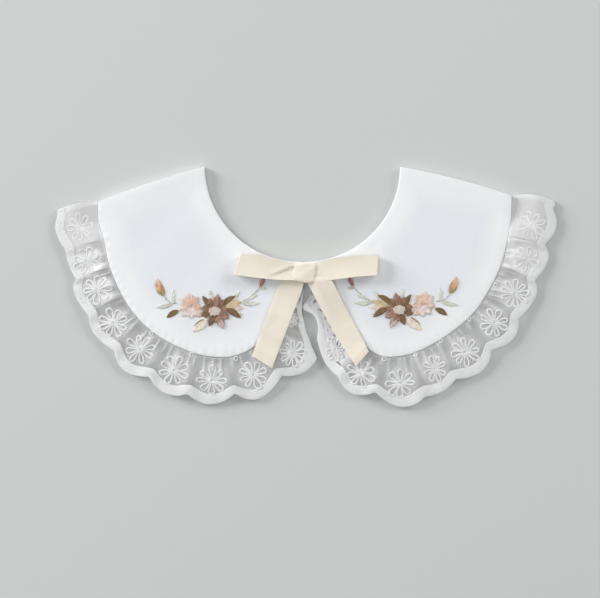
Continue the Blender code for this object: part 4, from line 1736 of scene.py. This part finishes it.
    def loop_face(self, name: str, line: Curve, share: Array, lift: Array, inset: float) -> Array:
        """One face of the band of a loop.

        Args:
            name: Which loop.
            line: Its sections.
            share: Shares of the length, out along the lower side and back along the upper one.
            lift: 0 on the lower side, 1 on the upper one.
            inset: How far the face is moved in from the outer face.

        Returns:
            Points x, y, z for each station across the ribbon.
        """
        station = np.linspace(0, 1, self.loop_rows)
        sections = line.at(np.clip(share, inset / line.length, 1 - inset / line.length) * line.length)
        plan = mix(sections[None, :, 0:2], sections[None, :, 2:4], station[:, None, None])
        height = np.tile(mix(sections[:, 4] + inset, sections[:, 5] - inset, lift), (len(station), 1))
        drawn = np.exp(-share * line.length / self.pleat_length) * lift
        pleats = np.cos(2 * np.pi * self.pleats * station + 0.6)[:, None] * drawn
        sag = np.sin(np.pi * station)[:, None] * np.sin(np.pi * share) * lift
        height = height + self.pleat * pleats - self.sag * sag
        if name.endswith("left"):
            return np.dstack([plan, height - self.crease(plan) * lift])
        beside = plan[..., 0] - self.knot_side + self.knot_side_slant * (self.knot_side_top - plan[..., 1])
        pressed = self.knot_press * bell(beside, self.knot_press_width) * lift
        return np.dstack([plan, height - pressed])

    def loop(self, name: str, table: Table, tops: Row,
             finish: Material) -> Piece:
        """Make a flattened loop, open from side to side.

        Args:
            name: Which loop.
            table: Its sections.
            tops: Height of its top at each section.
            finish: Its material.

        Returns:
            The loop.
        """
        line = Curve([row + (under, top) for row, under, top in zip(table, LOOP_UNDER, tops)])
        turn = np.radians(np.linspace(*self.turn_angles))
        side = np.linspace(0, self.turn_from, self.face_points)
        share = np.concatenate([side, self.turn_middle + self.turn_half * np.cos(turn), side[::-1]])
        lift = np.concatenate([np.zeros(len(side)), 0.5 + 0.5 * np.sin(turn), np.ones(len(side))])
        outer, inner = (self.loop_face(name, line, share, lift, inset) for inset in (0.0, self.wall))
        count = len(share)
        size = self.loop_rows * count
        shell = ring_faces(self.loop_rows, count)
        spot = np.arange(count)
        after = (spot + 1) % count
        rims = []
        for row in (0, self.loop_rows - 1):
            a, b = row * count + spot, row * count + after
            rims.append(np.stack([a, b, size + b, size + a], axis=-1))
        lay = np.zeros(outer.shape)
        lay[..., 0] = travelled(outer[0])
        lay[..., 1] = np.linspace(0, self.width, self.loop_rows)[:, None]
        pile = MeshPile()
        faces = np.vstack([shell, shell[:, ::-1] + size, *rims])
        pile.add(np.stack([outer, inner]), faces, np.stack([lay, lay]))
        piece = pile.build("ribbon_" + name, finish, "cream_ribbon", 40.0)
        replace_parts(piece, "bow_" + name)
        return piece

    def knot(self, finish: Material) -> Piece:
        """Make the knot, a band wrapped over the roots of the loops.

        Args:
            finish: Its material.

        Returns:
            The knot.
        """
        line = Curve(KNOT)
        rows = count = self.knot_points
        sections = line.at(np.linspace(0, line.length, rows))
        angle = 2 * np.pi * np.arange(count) / count
        y_way = np.abs(np.cos(angle)) ** self.knot_round[0] * np.sign(np.cos(angle))
        z_way = np.abs(np.sin(angle)) ** self.knot_round[1] * np.sign(np.sin(angle))
        rings = []
        for number, (x, low, high, top) in enumerate(sections):
            from_end = smoothstep((rows - 1 - number) / self.knot_end_rows)
            y = (low + high) / 2 + (high - low) / 2 * y_way * mix(self.knot_ends[0], 1.0, from_end)
            tall = (top - self.knot_bottom) / 2
            z = self.knot_bottom + tall + tall * mix(self.knot_ends[1], 1.0, from_end) * z_way
            slant = self.knot_slant * ease(x, *self.knot_slants) * (y - high) / (high - low)
            points = np.column_stack([x + slant, y, z])
            place, spread = self.pull_place
            wave = np.sin(self.pull_waves * (y - self.pull_lean * x) + self.pull_start)
            pull = self.knot_pull * wave * bell(x - place, spread)
            points[:, 2] += (pull - self.crease(points)) * np.clip(z_way, 0, 1)
            rings.append(points)
        middle = rings[rows // 2]
        lay = np.zeros((rows, count, 3))
        lay[..., 0] = np.cumsum(np.linalg.norm(np.diff(middle, axis=0, prepend=middle[-1:]), axis=1))
        lay[..., 1] = np.linspace(0, self.width, rows)[:, None]
        pile = MeshPile()
        pile.add_tube(np.stack(rings), lay)
        piece = pile.build("ribbon_knot", finish, "cream_ribbon", 60.0)
        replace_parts(piece, "bow_knot")
        return piece

    def build(self, finish: Material) -> None:
        """Make every stretch of the bow.

        Args:
            finish: The ribbon's material.
        """
        self.tail("tail_left", LEFT_TAIL, finish)
        self.tail("tail_right", RIGHT_TAIL, finish)
        self.loop("loop_left", LEFT_LOOP, LEFT_LOOP_TOP, finish)
        self.loop("loop_right", RIGHT_LOOP, RIGHT_LOOP_TOP, finish)
        self.knot(finish)


class Floss(Enum):
    """Thread colours of the embroidery, as linear red, green and blue."""

    MAUVE = (0.43, 0.245, 0.18)
    ROSE = (0.57, 0.34, 0.29)
    BROWN = (0.24, 0.14, 0.075)
    OLIVE = (0.23, 0.17, 0.065)
    MOSS = (0.47, 0.37, 0.18)
    OCHRE = (0.73, 0.58, 0.37)
    TAN = (0.82, 0.47, 0.23)
    PEACH = (0.87, 0.62, 0.49)
    PINK = (0.94, 0.79, 0.75)
    CREAM = (0.94, 0.85, 0.71)
    IVORY = (0.89, 0.76, 0.67)
    SAGE = (0.70, 0.71, 0.60)
    MIST = (0.80, 0.82, 0.74)
    STEM = (0.40, 0.35, 0.26)


class Fill(Enum):
    """How the threads of a shape run."""

    LONG = "from its base to its tip"
    SLANT = "from a middle vein out to its sides"


# Share of its length where a shape is widest
PEAKS = {Fill.LONG: 0.62, Fill.SLANT: 0.45}


@dataclass(frozen=True)
class Shape:
    """One petal, leaf or bud: its base and tip from the middle of the spray, and how it is filled."""

    base: Plan
    tip: Plan
    width: float
    floss: Floss
    fill: Fill
    layer: int
    tip_floss: Floss | None = None
    bend: float = 0.0

    def length(self) -> float:
        """Distance from its base to its tip."""
        return math.dist(self.base, self.tip)

    def side(self) -> Array:
        """Unit direction across it."""
        return np.array([self.base[1] - self.tip[1], self.tip[0] - self.base[0]]) / self.length()


SHAPES = (
    Shape((-31.6, 9.6), (-35.0, 18.2), 5.0, Floss.MOSS, Fill.SLANT, 1, Floss.MOSS, 0.5),
    Shape((-33.4, 11.4), (-35.6, 20.6), 4.2, Floss.TAN, Fill.LONG, 2, Floss.PEACH, 0.5),
    Shape((-25.2, 5.4), (-25.4, 13.6), 2.4, Floss.MIST, Fill.SLANT, 0, None, 0.5),
    Shape((-26.2, 5.0), (-36.6, 2.4), 2.8, Floss.SAGE, Fill.SLANT, 0, Floss.MIST, 0.6),
    Shape((-22.4, 0.4), (-29.8, -4.0), 3.6, Floss.OLIVE, Fill.SLANT, 0, Floss.BROWN, -0.4),
    Shape((-14.4, 2.6), (-20.4, -3.4), 5.2, Floss.PINK, Fill.LONG, 1),
    Shape((-13.6, 2.6), (-15.0, -5.2), 5.4, Floss.PINK, Fill.LONG, 1),
    Shape((-12.8, 2.6), (-9.0, -4.2), 5.2, Floss.PINK, Fill.LONG, 1, Floss.PEACH),
    Shape((-15.2, 3.6), (-22.6, 1.8), 5.0, Floss.PEACH, Fill.LONG, 2, Floss.PINK),
    Shape((-15.2, 4.2), (-21.6, 8.6), 5.2, Floss.PEACH, Fill.LONG, 2, Floss.PINK),
    Shape((-15.0, 4.4), (-16.4, 11.8), 5.4, Floss.PEACH, Fill.LONG, 2, Floss.PINK),
    Shape((-14.6, 4.2), (-10.0, 9.2), 5.2, Floss.PEACH, Fill.LONG, 2),
    Shape((-14.6, 3.8), (-7.8, 1.4), 5.0, Floss.PEACH, Fill.LONG, 2),
    Shape((-5.4, -4.0), (-13.4, -12.8), 5.8, Floss.CREAM, Fill.SLANT, 0, Floss.CREAM, 0.5),
    Shape((-6.4, -4.6), (-12.8, -9.4), 0.7, Floss.BROWN, Fill.LONG, 1, Floss.MOSS, -0.8),
    Shape((-5.0, -4.8), (-7.8, -11.4), 2.8, Floss.PINK, Fill.SLANT, 0, Floss.CREAM),
    Shape((-1.8, 8.2), (-3.0, 13.2), 2.4, Floss.MIST, Fill.SLANT, 0),
    Shape((4.4, 3.2), (13.4, 9.6), 3.8, Floss.OLIVE, Fill.SLANT, 1, Floss.BROWN, 0.7),
    Shape((6.6, 3.8), (15.6, 12.4), 3.4, Floss.OCHRE, Fill.SLANT, 0, Floss.MIST, -0.4),
    Shape((7.0, 1.4), (16.2, -4.0), 4.4, Floss.BROWN, Fill.SLANT, 3, Floss.OLIVE, 0.6),
    Shape((6.4, 2.2), (17.0, 6.4), 4.6, Floss.OCHRE, Fill.LONG, 1, Floss.OCHRE),
    Shape((6.4, 1.6), (18.4, 2.2), 4.6, Floss.OCHRE, Fill.LONG, 1, Floss.PINK),
    Shape((7.4, 0.8), (17.8, -2.4), 4.0, Floss.OCHRE, Fill.LONG, 1, Floss.PINK),
    Shape((16.6, 5.4), (28.0, 5.2), 3.2, Floss.SAGE, Fill.SLANT, 0, Floss.MIST, -0.6),
    Shape((19.6, 7.4), (26.4, 10.2), 2.4, Floss.MIST, Fill.SLANT, 0),
    Shape((28.0, 14.6), (32.0, 14.0), 2.2, Floss.SAGE, Fill.SLANT, 0),
    Shape((27.6, 14.2), (29.4, 21.6), 2.8, Floss.PEACH, Fill.LONG, 0, Floss.PINK),
    Shape((28.0, 14.8), (31.2, 21.6), 3.2, Floss.MAUVE, Fill.LONG, 1, Floss.ROSE),
    Shape((-1.6, 1.2), (-7.6, 9.6), 3.8, Floss.OLIVE, Fill.SLANT, 3, Floss.BROWN),
    Shape((-2.0, 0.0), (-8.6, -3.0), 5.6, Floss.BROWN, Fill.LONG, 3, Floss.BROWN),
    Shape((-1.9, 0.5), (-8.8, 2.2), 5.2, Floss.BROWN, Fill.LONG, 3, Floss.MAUVE),
    Shape((-0.5, -1.8), (-3.4, -9.4), 4.2, Floss.OLIVE, Fill.SLANT, 3, Floss.BROWN),
    Shape((-0.8, 1.8), (-3.4, 8.4), 5.0, Floss.BROWN, Fill.LONG, 4, Floss.MAUVE),
    Shape((0.5, 1.9), (2.2, 11.0), 5.0, Floss.MAUVE, Fill.LONG, 4, Floss.ROSE),
    Shape((1.6, 1.5), (5.8, 7.4), 5.0, Floss.BROWN, Fill.LONG, 4, Floss.MAUVE),
    Shape((2.2, 0.3), (8.6, 1.8), 4.6, Floss.MAUVE, Fill.LONG, 3),
    Shape((2.2, -0.7), (9.2, -4.6), 5.4, Floss.MAUVE, Fill.LONG, 4, Floss.ROSE),
    Shape((1.1, -1.6), (5.8, -11.4), 4.8, Floss.MAUVE, Fill.LONG, 4, Floss.PINK),
    Shape((0.3, -1.9), (1.2, -7.6), 5.0, Floss.BROWN, Fill.LONG, 4, Floss.MAUVE),
)
# Stems of a spray: points x, y along each
STEMS = (
    ((-31.8, 9.8), (-30.0, 7.6), (-27.4, 5.4), (-22.6, 5.0)),
    ((-22.4, 0.2), (-19.0, 2.4), (-16.0, 3.4)),
    ((10.0, 3.6), (16.2, 5.6), (22.0, 8.9), (28.0, 14.8)),
)
# Coiled knots of a spray: middle, spread in x and y, colour, how many, and the layer that they lie on
KNOTS = (
    ((0.0, 0.0), (3.6, 2.8), Floss.IVORY, 44, 4),
    ((0.2, 0.1), (0.7, 0.6), Floss.CREAM, 4, 5),
    ((-15.0, 4.0), (0.9, 0.8), Floss.PEACH, 5, 3),
)


@dataclass
class EmbroiderySpray:
    """Spray of flowers and leaves, worked stitch by stitch on one half."""

    name: str
    middle: Plan
    mirrored: bool
    turn: float
    seed: int
    ground: Ground
    thread: float = 0.21
    pitch: float = 0.33
    # Heights of the work: its own, and for each layer under it
    lift: float = 0.05
    layer_lift: float = 0.11
    sides: int = 5
    # Places along a stitch, and its thickness at each of them
    stitch_shares: Row = (0.0, 0.12, 0.38, 0.68, 0.9, 1.0)
    stitch_ends: Row = (0.55, 0.95, 1.0, 1.0, 0.9, 0.5)
    stitch_flatness: float = 0.8
    stitch_shades: Plan = (0.74, 1.16)
    thread_range: Plan = (0.9, 1.1)
    # How far a stitch's ends stand up with the work under it
    end_lift: float = 0.8
    end_lift_from: float = 0.16
    # Petals: how much shorter they are at their sides, and where their two rows of stitches meet
    petal_round: float = 0.34
    petal_ragged: float = 0.07
    petal_split: Plan = (0.40, 0.58)
    petal_meets: Plan = (0.08, -0.06)
    petal_narrowest: float = 0.12
    # Where the tip's colour starts and over which length, and how that wanders
    tip_from: float = 0.3
    tip_over: float = 0.5
    tip_wander: float = 0.3
    # Leaves: how far a stitch slants, how far it crosses the vein low and high up, and its arch
    leaf_slant: float = 0.16
    leaf_cross: Plan = (0.14, 0.3)
    leaf_arch: float = 0.16
    brown_chance: float = 0.2
    stem_stitch: float = 1.1
    stem_shift: float = 0.08
    # Coiled knots: points and turns of the coil, its first and last radius, and its rise
    coil_points: int = 18
    coil_turns: float = 1.8
    coil_radii: Plan = (0.42, 0.12)
    coil_rise: float = 0.22
    coil_thread: float = 0.85
    pile: MeshPile = field(default_factory=MeshPile)

    def __post_init__(self) -> None:
        """Start the draw of small differences between stitches."""
        self.draw = random.Random(self.seed)

    def placed(self, local: Array) -> Array:
        """Turn points of the spray into points of the collar."""
        facing = local * (-1.0 if self.mirrored else 1.0, 1.0)
        return turned_by(facing, math.radians(self.turn)) + self.middle

    def shaded(self, tone: Colour, low: float, high: float) -> Colour:
        """Tone made a little lighter or darker at random."""
        shade = self.draw.uniform(low, high)
        return tuple(min(1.0, part * shade) for part in tone)

    def stitch(self, start: Array, end: Array, lift: float, tone: Colour, arch: float = 0.22) -> None:
        """Lay one stitch, whose ends go down into the cloth.

        Args:
            start: Where it comes up.
            end: Where it goes down.
            lift: Height of the work that it lies on.
            tone: Its colour.
            arch: How far it stands up over its ends.
        """
        share = np.array(self.stitch_shares)
        path = self.placed(mix(start, end, share[:, None]))
        floor = mix(*self.ground.heights(path[[0, -1]]), share)
        low = self.end_lift * max(lift - self.end_lift_from, 0.0)
        rise = (lift - low + arch) * np.sin(np.pi * share) ** 0.5
        points = np.column_stack([path, floor + self.lift + low + rise])
        tone = self.shaded(tone, *self.stitch_shades)
        thick = self.thread * self.draw.uniform(*self.thread_range) * np.array(self.stitch_ends)
        flat = thick * self.stitch_flatness
        add_thread(self.pile, points, thick, flat, self.sides, tone, self.draw.uniform(0, 9))

    def middle_line(self, shape: Shape, share: float) -> Array:
        """Point of a shape's middle line, at a share of its length."""
        base, line = np.array(shape.base), np.array(shape.tip) - shape.base
        return base + line * share + shape.side() * shape.bend * math.sin(math.pi * share)

    def half_width(self, shape: Shape, share: float) -> float:
        """Half width of a shape at a share of its length."""
        warped = min(share ** (math.log(0.5) / math.log(PEAKS[shape.fill])), 1.0)
        return shape.width / 2 * max(math.sin(math.pi * warped), 0.0) ** 0.75

    def tone(self, shape: Shape, share: float) -> Colour:
        """Colour of one stitch, sometimes a darker one in the high petals.

        Args:
            shape: The shape that it fills.
            share: Where it is along the shape.

        Returns:
            Its colour.
        """
        wander = self.draw.uniform(-self.tip_wander, self.tip_wander)
        keep = smoothstep((share - self.tip_from) / self.tip_over + wander)
        if shape.layer > 2 and self.draw.random() < self.brown_chance:
            return Floss.BROWN.value
        end_floss = shape.tip_floss or shape.floss
        return tuple(mix(np.array(shape.floss.value), np.array(end_floss.value), keep))

    def petal(self, shape: Shape, lift: float) -> None:
        """Fill a petal or bud with long stitches, two for each line of them.

        Args:
            shape: The petal.
            lift: Height of the work that it lies on.
        """
        side = shape.side()
        past, before = self.petal_meets
        count = max(3, round(shape.width / self.pitch))
        for number in range(count):
            offset = 2 * (number + 0.5) / count - 1
            far = 1 - self.petal_round * abs(offset) ** 2 - self.draw.uniform(0, self.petal_ragged)
            split = self.draw.uniform(*self.petal_split) * far
            near = 0.02 + 0.05 * self.draw.random()
            for start, end in ((near, split + past), (split + before, far)):
                wide = self.half_width(shape, max(start, self.petal_narrowest))
                a = self.middle_line(shape, start) + side * offset * wide
                b = self.middle_line(shape, end) + side * offset * self.half_width(shape, end)
                self.stitch(a, b, lift, self.tone(shape, (start + end) / 2))

    def leaf(self, shape: Shape, lift: float) -> None:
        """Fill a leaf with short stitches, slanting out from its vein.

        Args:
            shape: The leaf.
            lift: Height of the work that it lies on.
        """
        side = shape.side()
        cross = self.leaf_cross[shape.layer > 1]
        count = max(6, round(shape.length() / self.pitch * 1.05))
        for number in range(count):
            share = (number + 0.5) / count
            for way in (-1, 1):
                start = self.middle_line(shape, max(share - self.leaf_slant, 0.0)) - side * way * cross
                end = self.middle_line(shape, share) + side * way * self.half_width(shape, share)
                self.stitch(start, end, lift, self.tone(shape, share), self.leaf_arch)

    def stem(self, points: Sequence[Plan]) -> None:
        """Work a stem in a row of short slanting stitches.

        Args:
            points: Points along it.
        """
        line = Curve(points)
        count = max(4, round(line.length / self.stem_stitch))
        for number in range(count):
            start = line.at(line.length * number / count)
            end = line.at(line.length * min((number + 1.5) / count, 1.0))
            shift = np.array([self.stem_shift, -self.stem_shift]) * (1 if number % 2 else -1)
            floss = Floss.STEM if number % 3 else Floss.SAGE
            self.stitch(start + shift, end - shift, lift=0.1, tone=floss.value, arch=0.12)

    def knots(self, middle: Plan, radii: Plan, floss: Floss, count: int, layer: int) -> None:
        """Fill a flower's middle with small coiled knots.

        Args:
            middle: Middle of the knots.
            radii: How far they spread in x and y.
            floss: Their colour.
            count: How many there are.
            layer: What they lie on.
        """
        golden = math.pi * (3 - math.sqrt(5))
        coil = np.linspace(0, 2 * self.coil_turns * math.pi, self.coil_points)
        wound = coil / coil[-1]
        size = mix(*self.coil_radii, wound)
        thick = np.full(len(coil), self.thread * self.coil_thread)
        for number in range(count):
            far = math.sqrt((number + 0.4) / count)
            x = middle[0] + radii[0] * far * math.cos(number * golden)
            y = middle[1] + radii[1] * far * math.sin(number * golden)
            path = self.placed(np.column_stack([x + size * np.cos(coil), y + size * np.sin(coil)]))
            floor = self.ground.height(*map(float, path[0]))
            height = floor + 0.1 + 0.2 * layer + self.coil_rise * wound
            tone = self.shaded(floss.value, *self.thread_range)
            add_thread(self.pile, np.column_stack([path, height]), thick, thick, self.sides, tone)

    def build(self, finish: Material) -> Piece:
        """Work the whole spray.

        Args:
            finish: Its material.

        Returns:
            The spray.
        """
        for points in STEMS:
            self.stem(points)
        for shape in sorted(SHAPES, key=lambda item: item.layer):
            fill = self.petal if shape.fill is Fill.LONG else self.leaf
            fill(shape, self.lift + self.layer_lift * shape.layer)
        for middle, radii, floss, count, layer in KNOTS:
            self.knots(middle, radii, floss, count, layer)
        return self.pile.build("spray_" + self.name, finish, "embroidery_thread")


@dataclass(frozen=True)
class SoftBox:
    """One square soft light, turned to the collar."""

    name: str
    place: Row
    size: float
    power: float
    colour: Colour

    def hang(self) -> None:
        """Hang it."""
        data = bpy.data.lights.new(self.name, "AREA")
        data.size = self.size
        data.energy = self.power
        data.color = self.colour
        lamp = bpy.data.objects.new(self.name, data)
        lamp.location = self.place
        lamp.rotation_euler = (-Vector(self.place)).to_track_quat("-Z", "Y").to_euler()
        bpy.context.scene.collection.objects.link(lamp)


# Soft boxes: place in metres, side, power in watts, tint
LAMPS = (
    SoftBox("soft_left", (-2.6, 1.35, 0.9), 1.2, 109.0, (0.98, 0.97, 1.0)),
    SoftBox("soft_right", (2.3, 1.5, 1.27), 1.2, 43.0, (0.97, 1.0, 0.97)),
    SoftBox("soft_above", (-0.5, -0.4, 3.2), 2.2, 38.0, (1.0, 0.995, 0.99)),
)


@dataclass
class Studio:
    """Floor, camera and soft light."""

    frame_width: float = 0.372
    camera_height: float = 1.25
    aim: Plan = (-0.00411, -0.00678)
    subject_height: float = 0.003
    sensor: float = 36.0
    sees: Plan = (0.01, 60.0)
    floor_size: float = 16.0
    floor_drop: float = 0.00005
    room_colour: Colour = (0.96, 0.98, 1.0)
    room_light: float = 0.24

    def camera(self) -> None:
        """Look straight down on the collar."""
        data = bpy.data.cameras.new("camera")
        data.sensor_width = self.sensor
        data.lens = self.sensor * (self.camera_height - self.subject_height) / self.frame_width
        data.clip_start, data.clip_end = self.sees
        camera = bpy.data.objects.new("camera", data)
        camera.location = (*self.aim, self.camera_height)
        bpy.context.scene.collection.objects.link(camera)
        bpy.context.scene.camera = camera

    def floor(self) -> None:
        """Lay the paper that the collar is on."""
        half = self.floor_size / 2
        mesh = bpy.data.meshes.new("floor")
        corners = [(-half, -half, 0.0), (half, -half, 0.0), (half, half, 0.0), (-half, half, 0.0)]
        mesh.from_pydata(corners, [], [(0, 1, 2, 3)])
        mesh.materials.append(PaperBackdrop().material())
        floor = bpy.data.objects.new("floor", mesh)
        floor.location.z = -self.floor_drop
        bpy.context.scene.collection.objects.link(floor)

    def build(self) -> None:
        """Set up the studio."""
        self.camera()
        self.floor()
        for lamp in LAMPS:
            lamp.hang()
        world = bpy.data.worlds.new("room")
        world.use_nodes = True
        background = world.node_tree.nodes["Background"]
        background.inputs["Color"].default_value = (*self.room_colour, 1.0)
        background.inputs["Strength"].default_value = self.room_light
        bpy.context.scene.world = world
        bpy.context.scene.view_settings.view_transform = "Standard"


def main() -> None:
    """Build the collar and its studio, and report each piece."""
    logging.basicConfig(level=logging.INFO, format="%(name)s: %(message)s")
    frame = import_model()
    LOG.info("packed model has %d nodes", len(frame["nodes"]))
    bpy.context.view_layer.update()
    Studio().build()
    linen = WovenLinen().material()
    net = LaceNet().material()
    thread = LaceThread().material()
    ribbon = CottonRibbon().material()
    floss = StrandedFloss().material()
    left = CollarSide("left", -1, LEFT_SEAM, LEFT_SCALLOPS, LEFT_LAST_VALLEY, fold_bow=1.3, lace_bow=1.5)
    right = CollarSide("right", 1, RIGHT_SEAM, RIGHT_SCALLOPS, RIGHT_LAST_VALLEY, fold_bow=1.4, lace_bow=2.3)
    halves = [ClothHalf(left), ClothHalf(right)]
    cloth_pieces = [half.build(linen) for half in halves]
    ruffles = [
        LaceRuffle(left, LEFT_FLOWERS, LEFT_DOTS, LEFT_OVERLAPS, LEFT_EYELETS,
                   solid_from=11.9, soft_from=10.4, seed=11),
        LaceRuffle(right, RIGHT_FLOWERS, RIGHT_DOTS, RIGHT_OVERLAPS, RIGHT_EYELETS,
                   solid_from=8.93, soft_from=9.5, seed=23),
    ]
    for ruffle in ruffles:
        sheet = ruffle.build_net(net)
        border = ruffle.build_border(thread)
        flowers = ruffle.build_threads(thread)
        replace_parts(sheet, "lace_" + ruffle.side.name)
    cloth_ground = Ground([half.pile for half in halves])
    sprays = [
        EmbroiderySpray("left", (-56.9, -14.6), False, 0.0, 5, cloth_ground).build(floss),
        EmbroiderySpray("right", (57.4, -13.8), True, 1.2, 9, cloth_ground).build(floss),
    ]
    piles = [half.pile for half in halves]
    for ruffle in ruffles:
        piles += [ruffle.net, ruffle.border, ruffle.threads]
    RibbonBow(Ground(piles)).build(ribbon)


if __name__ == "__main__":
    main()
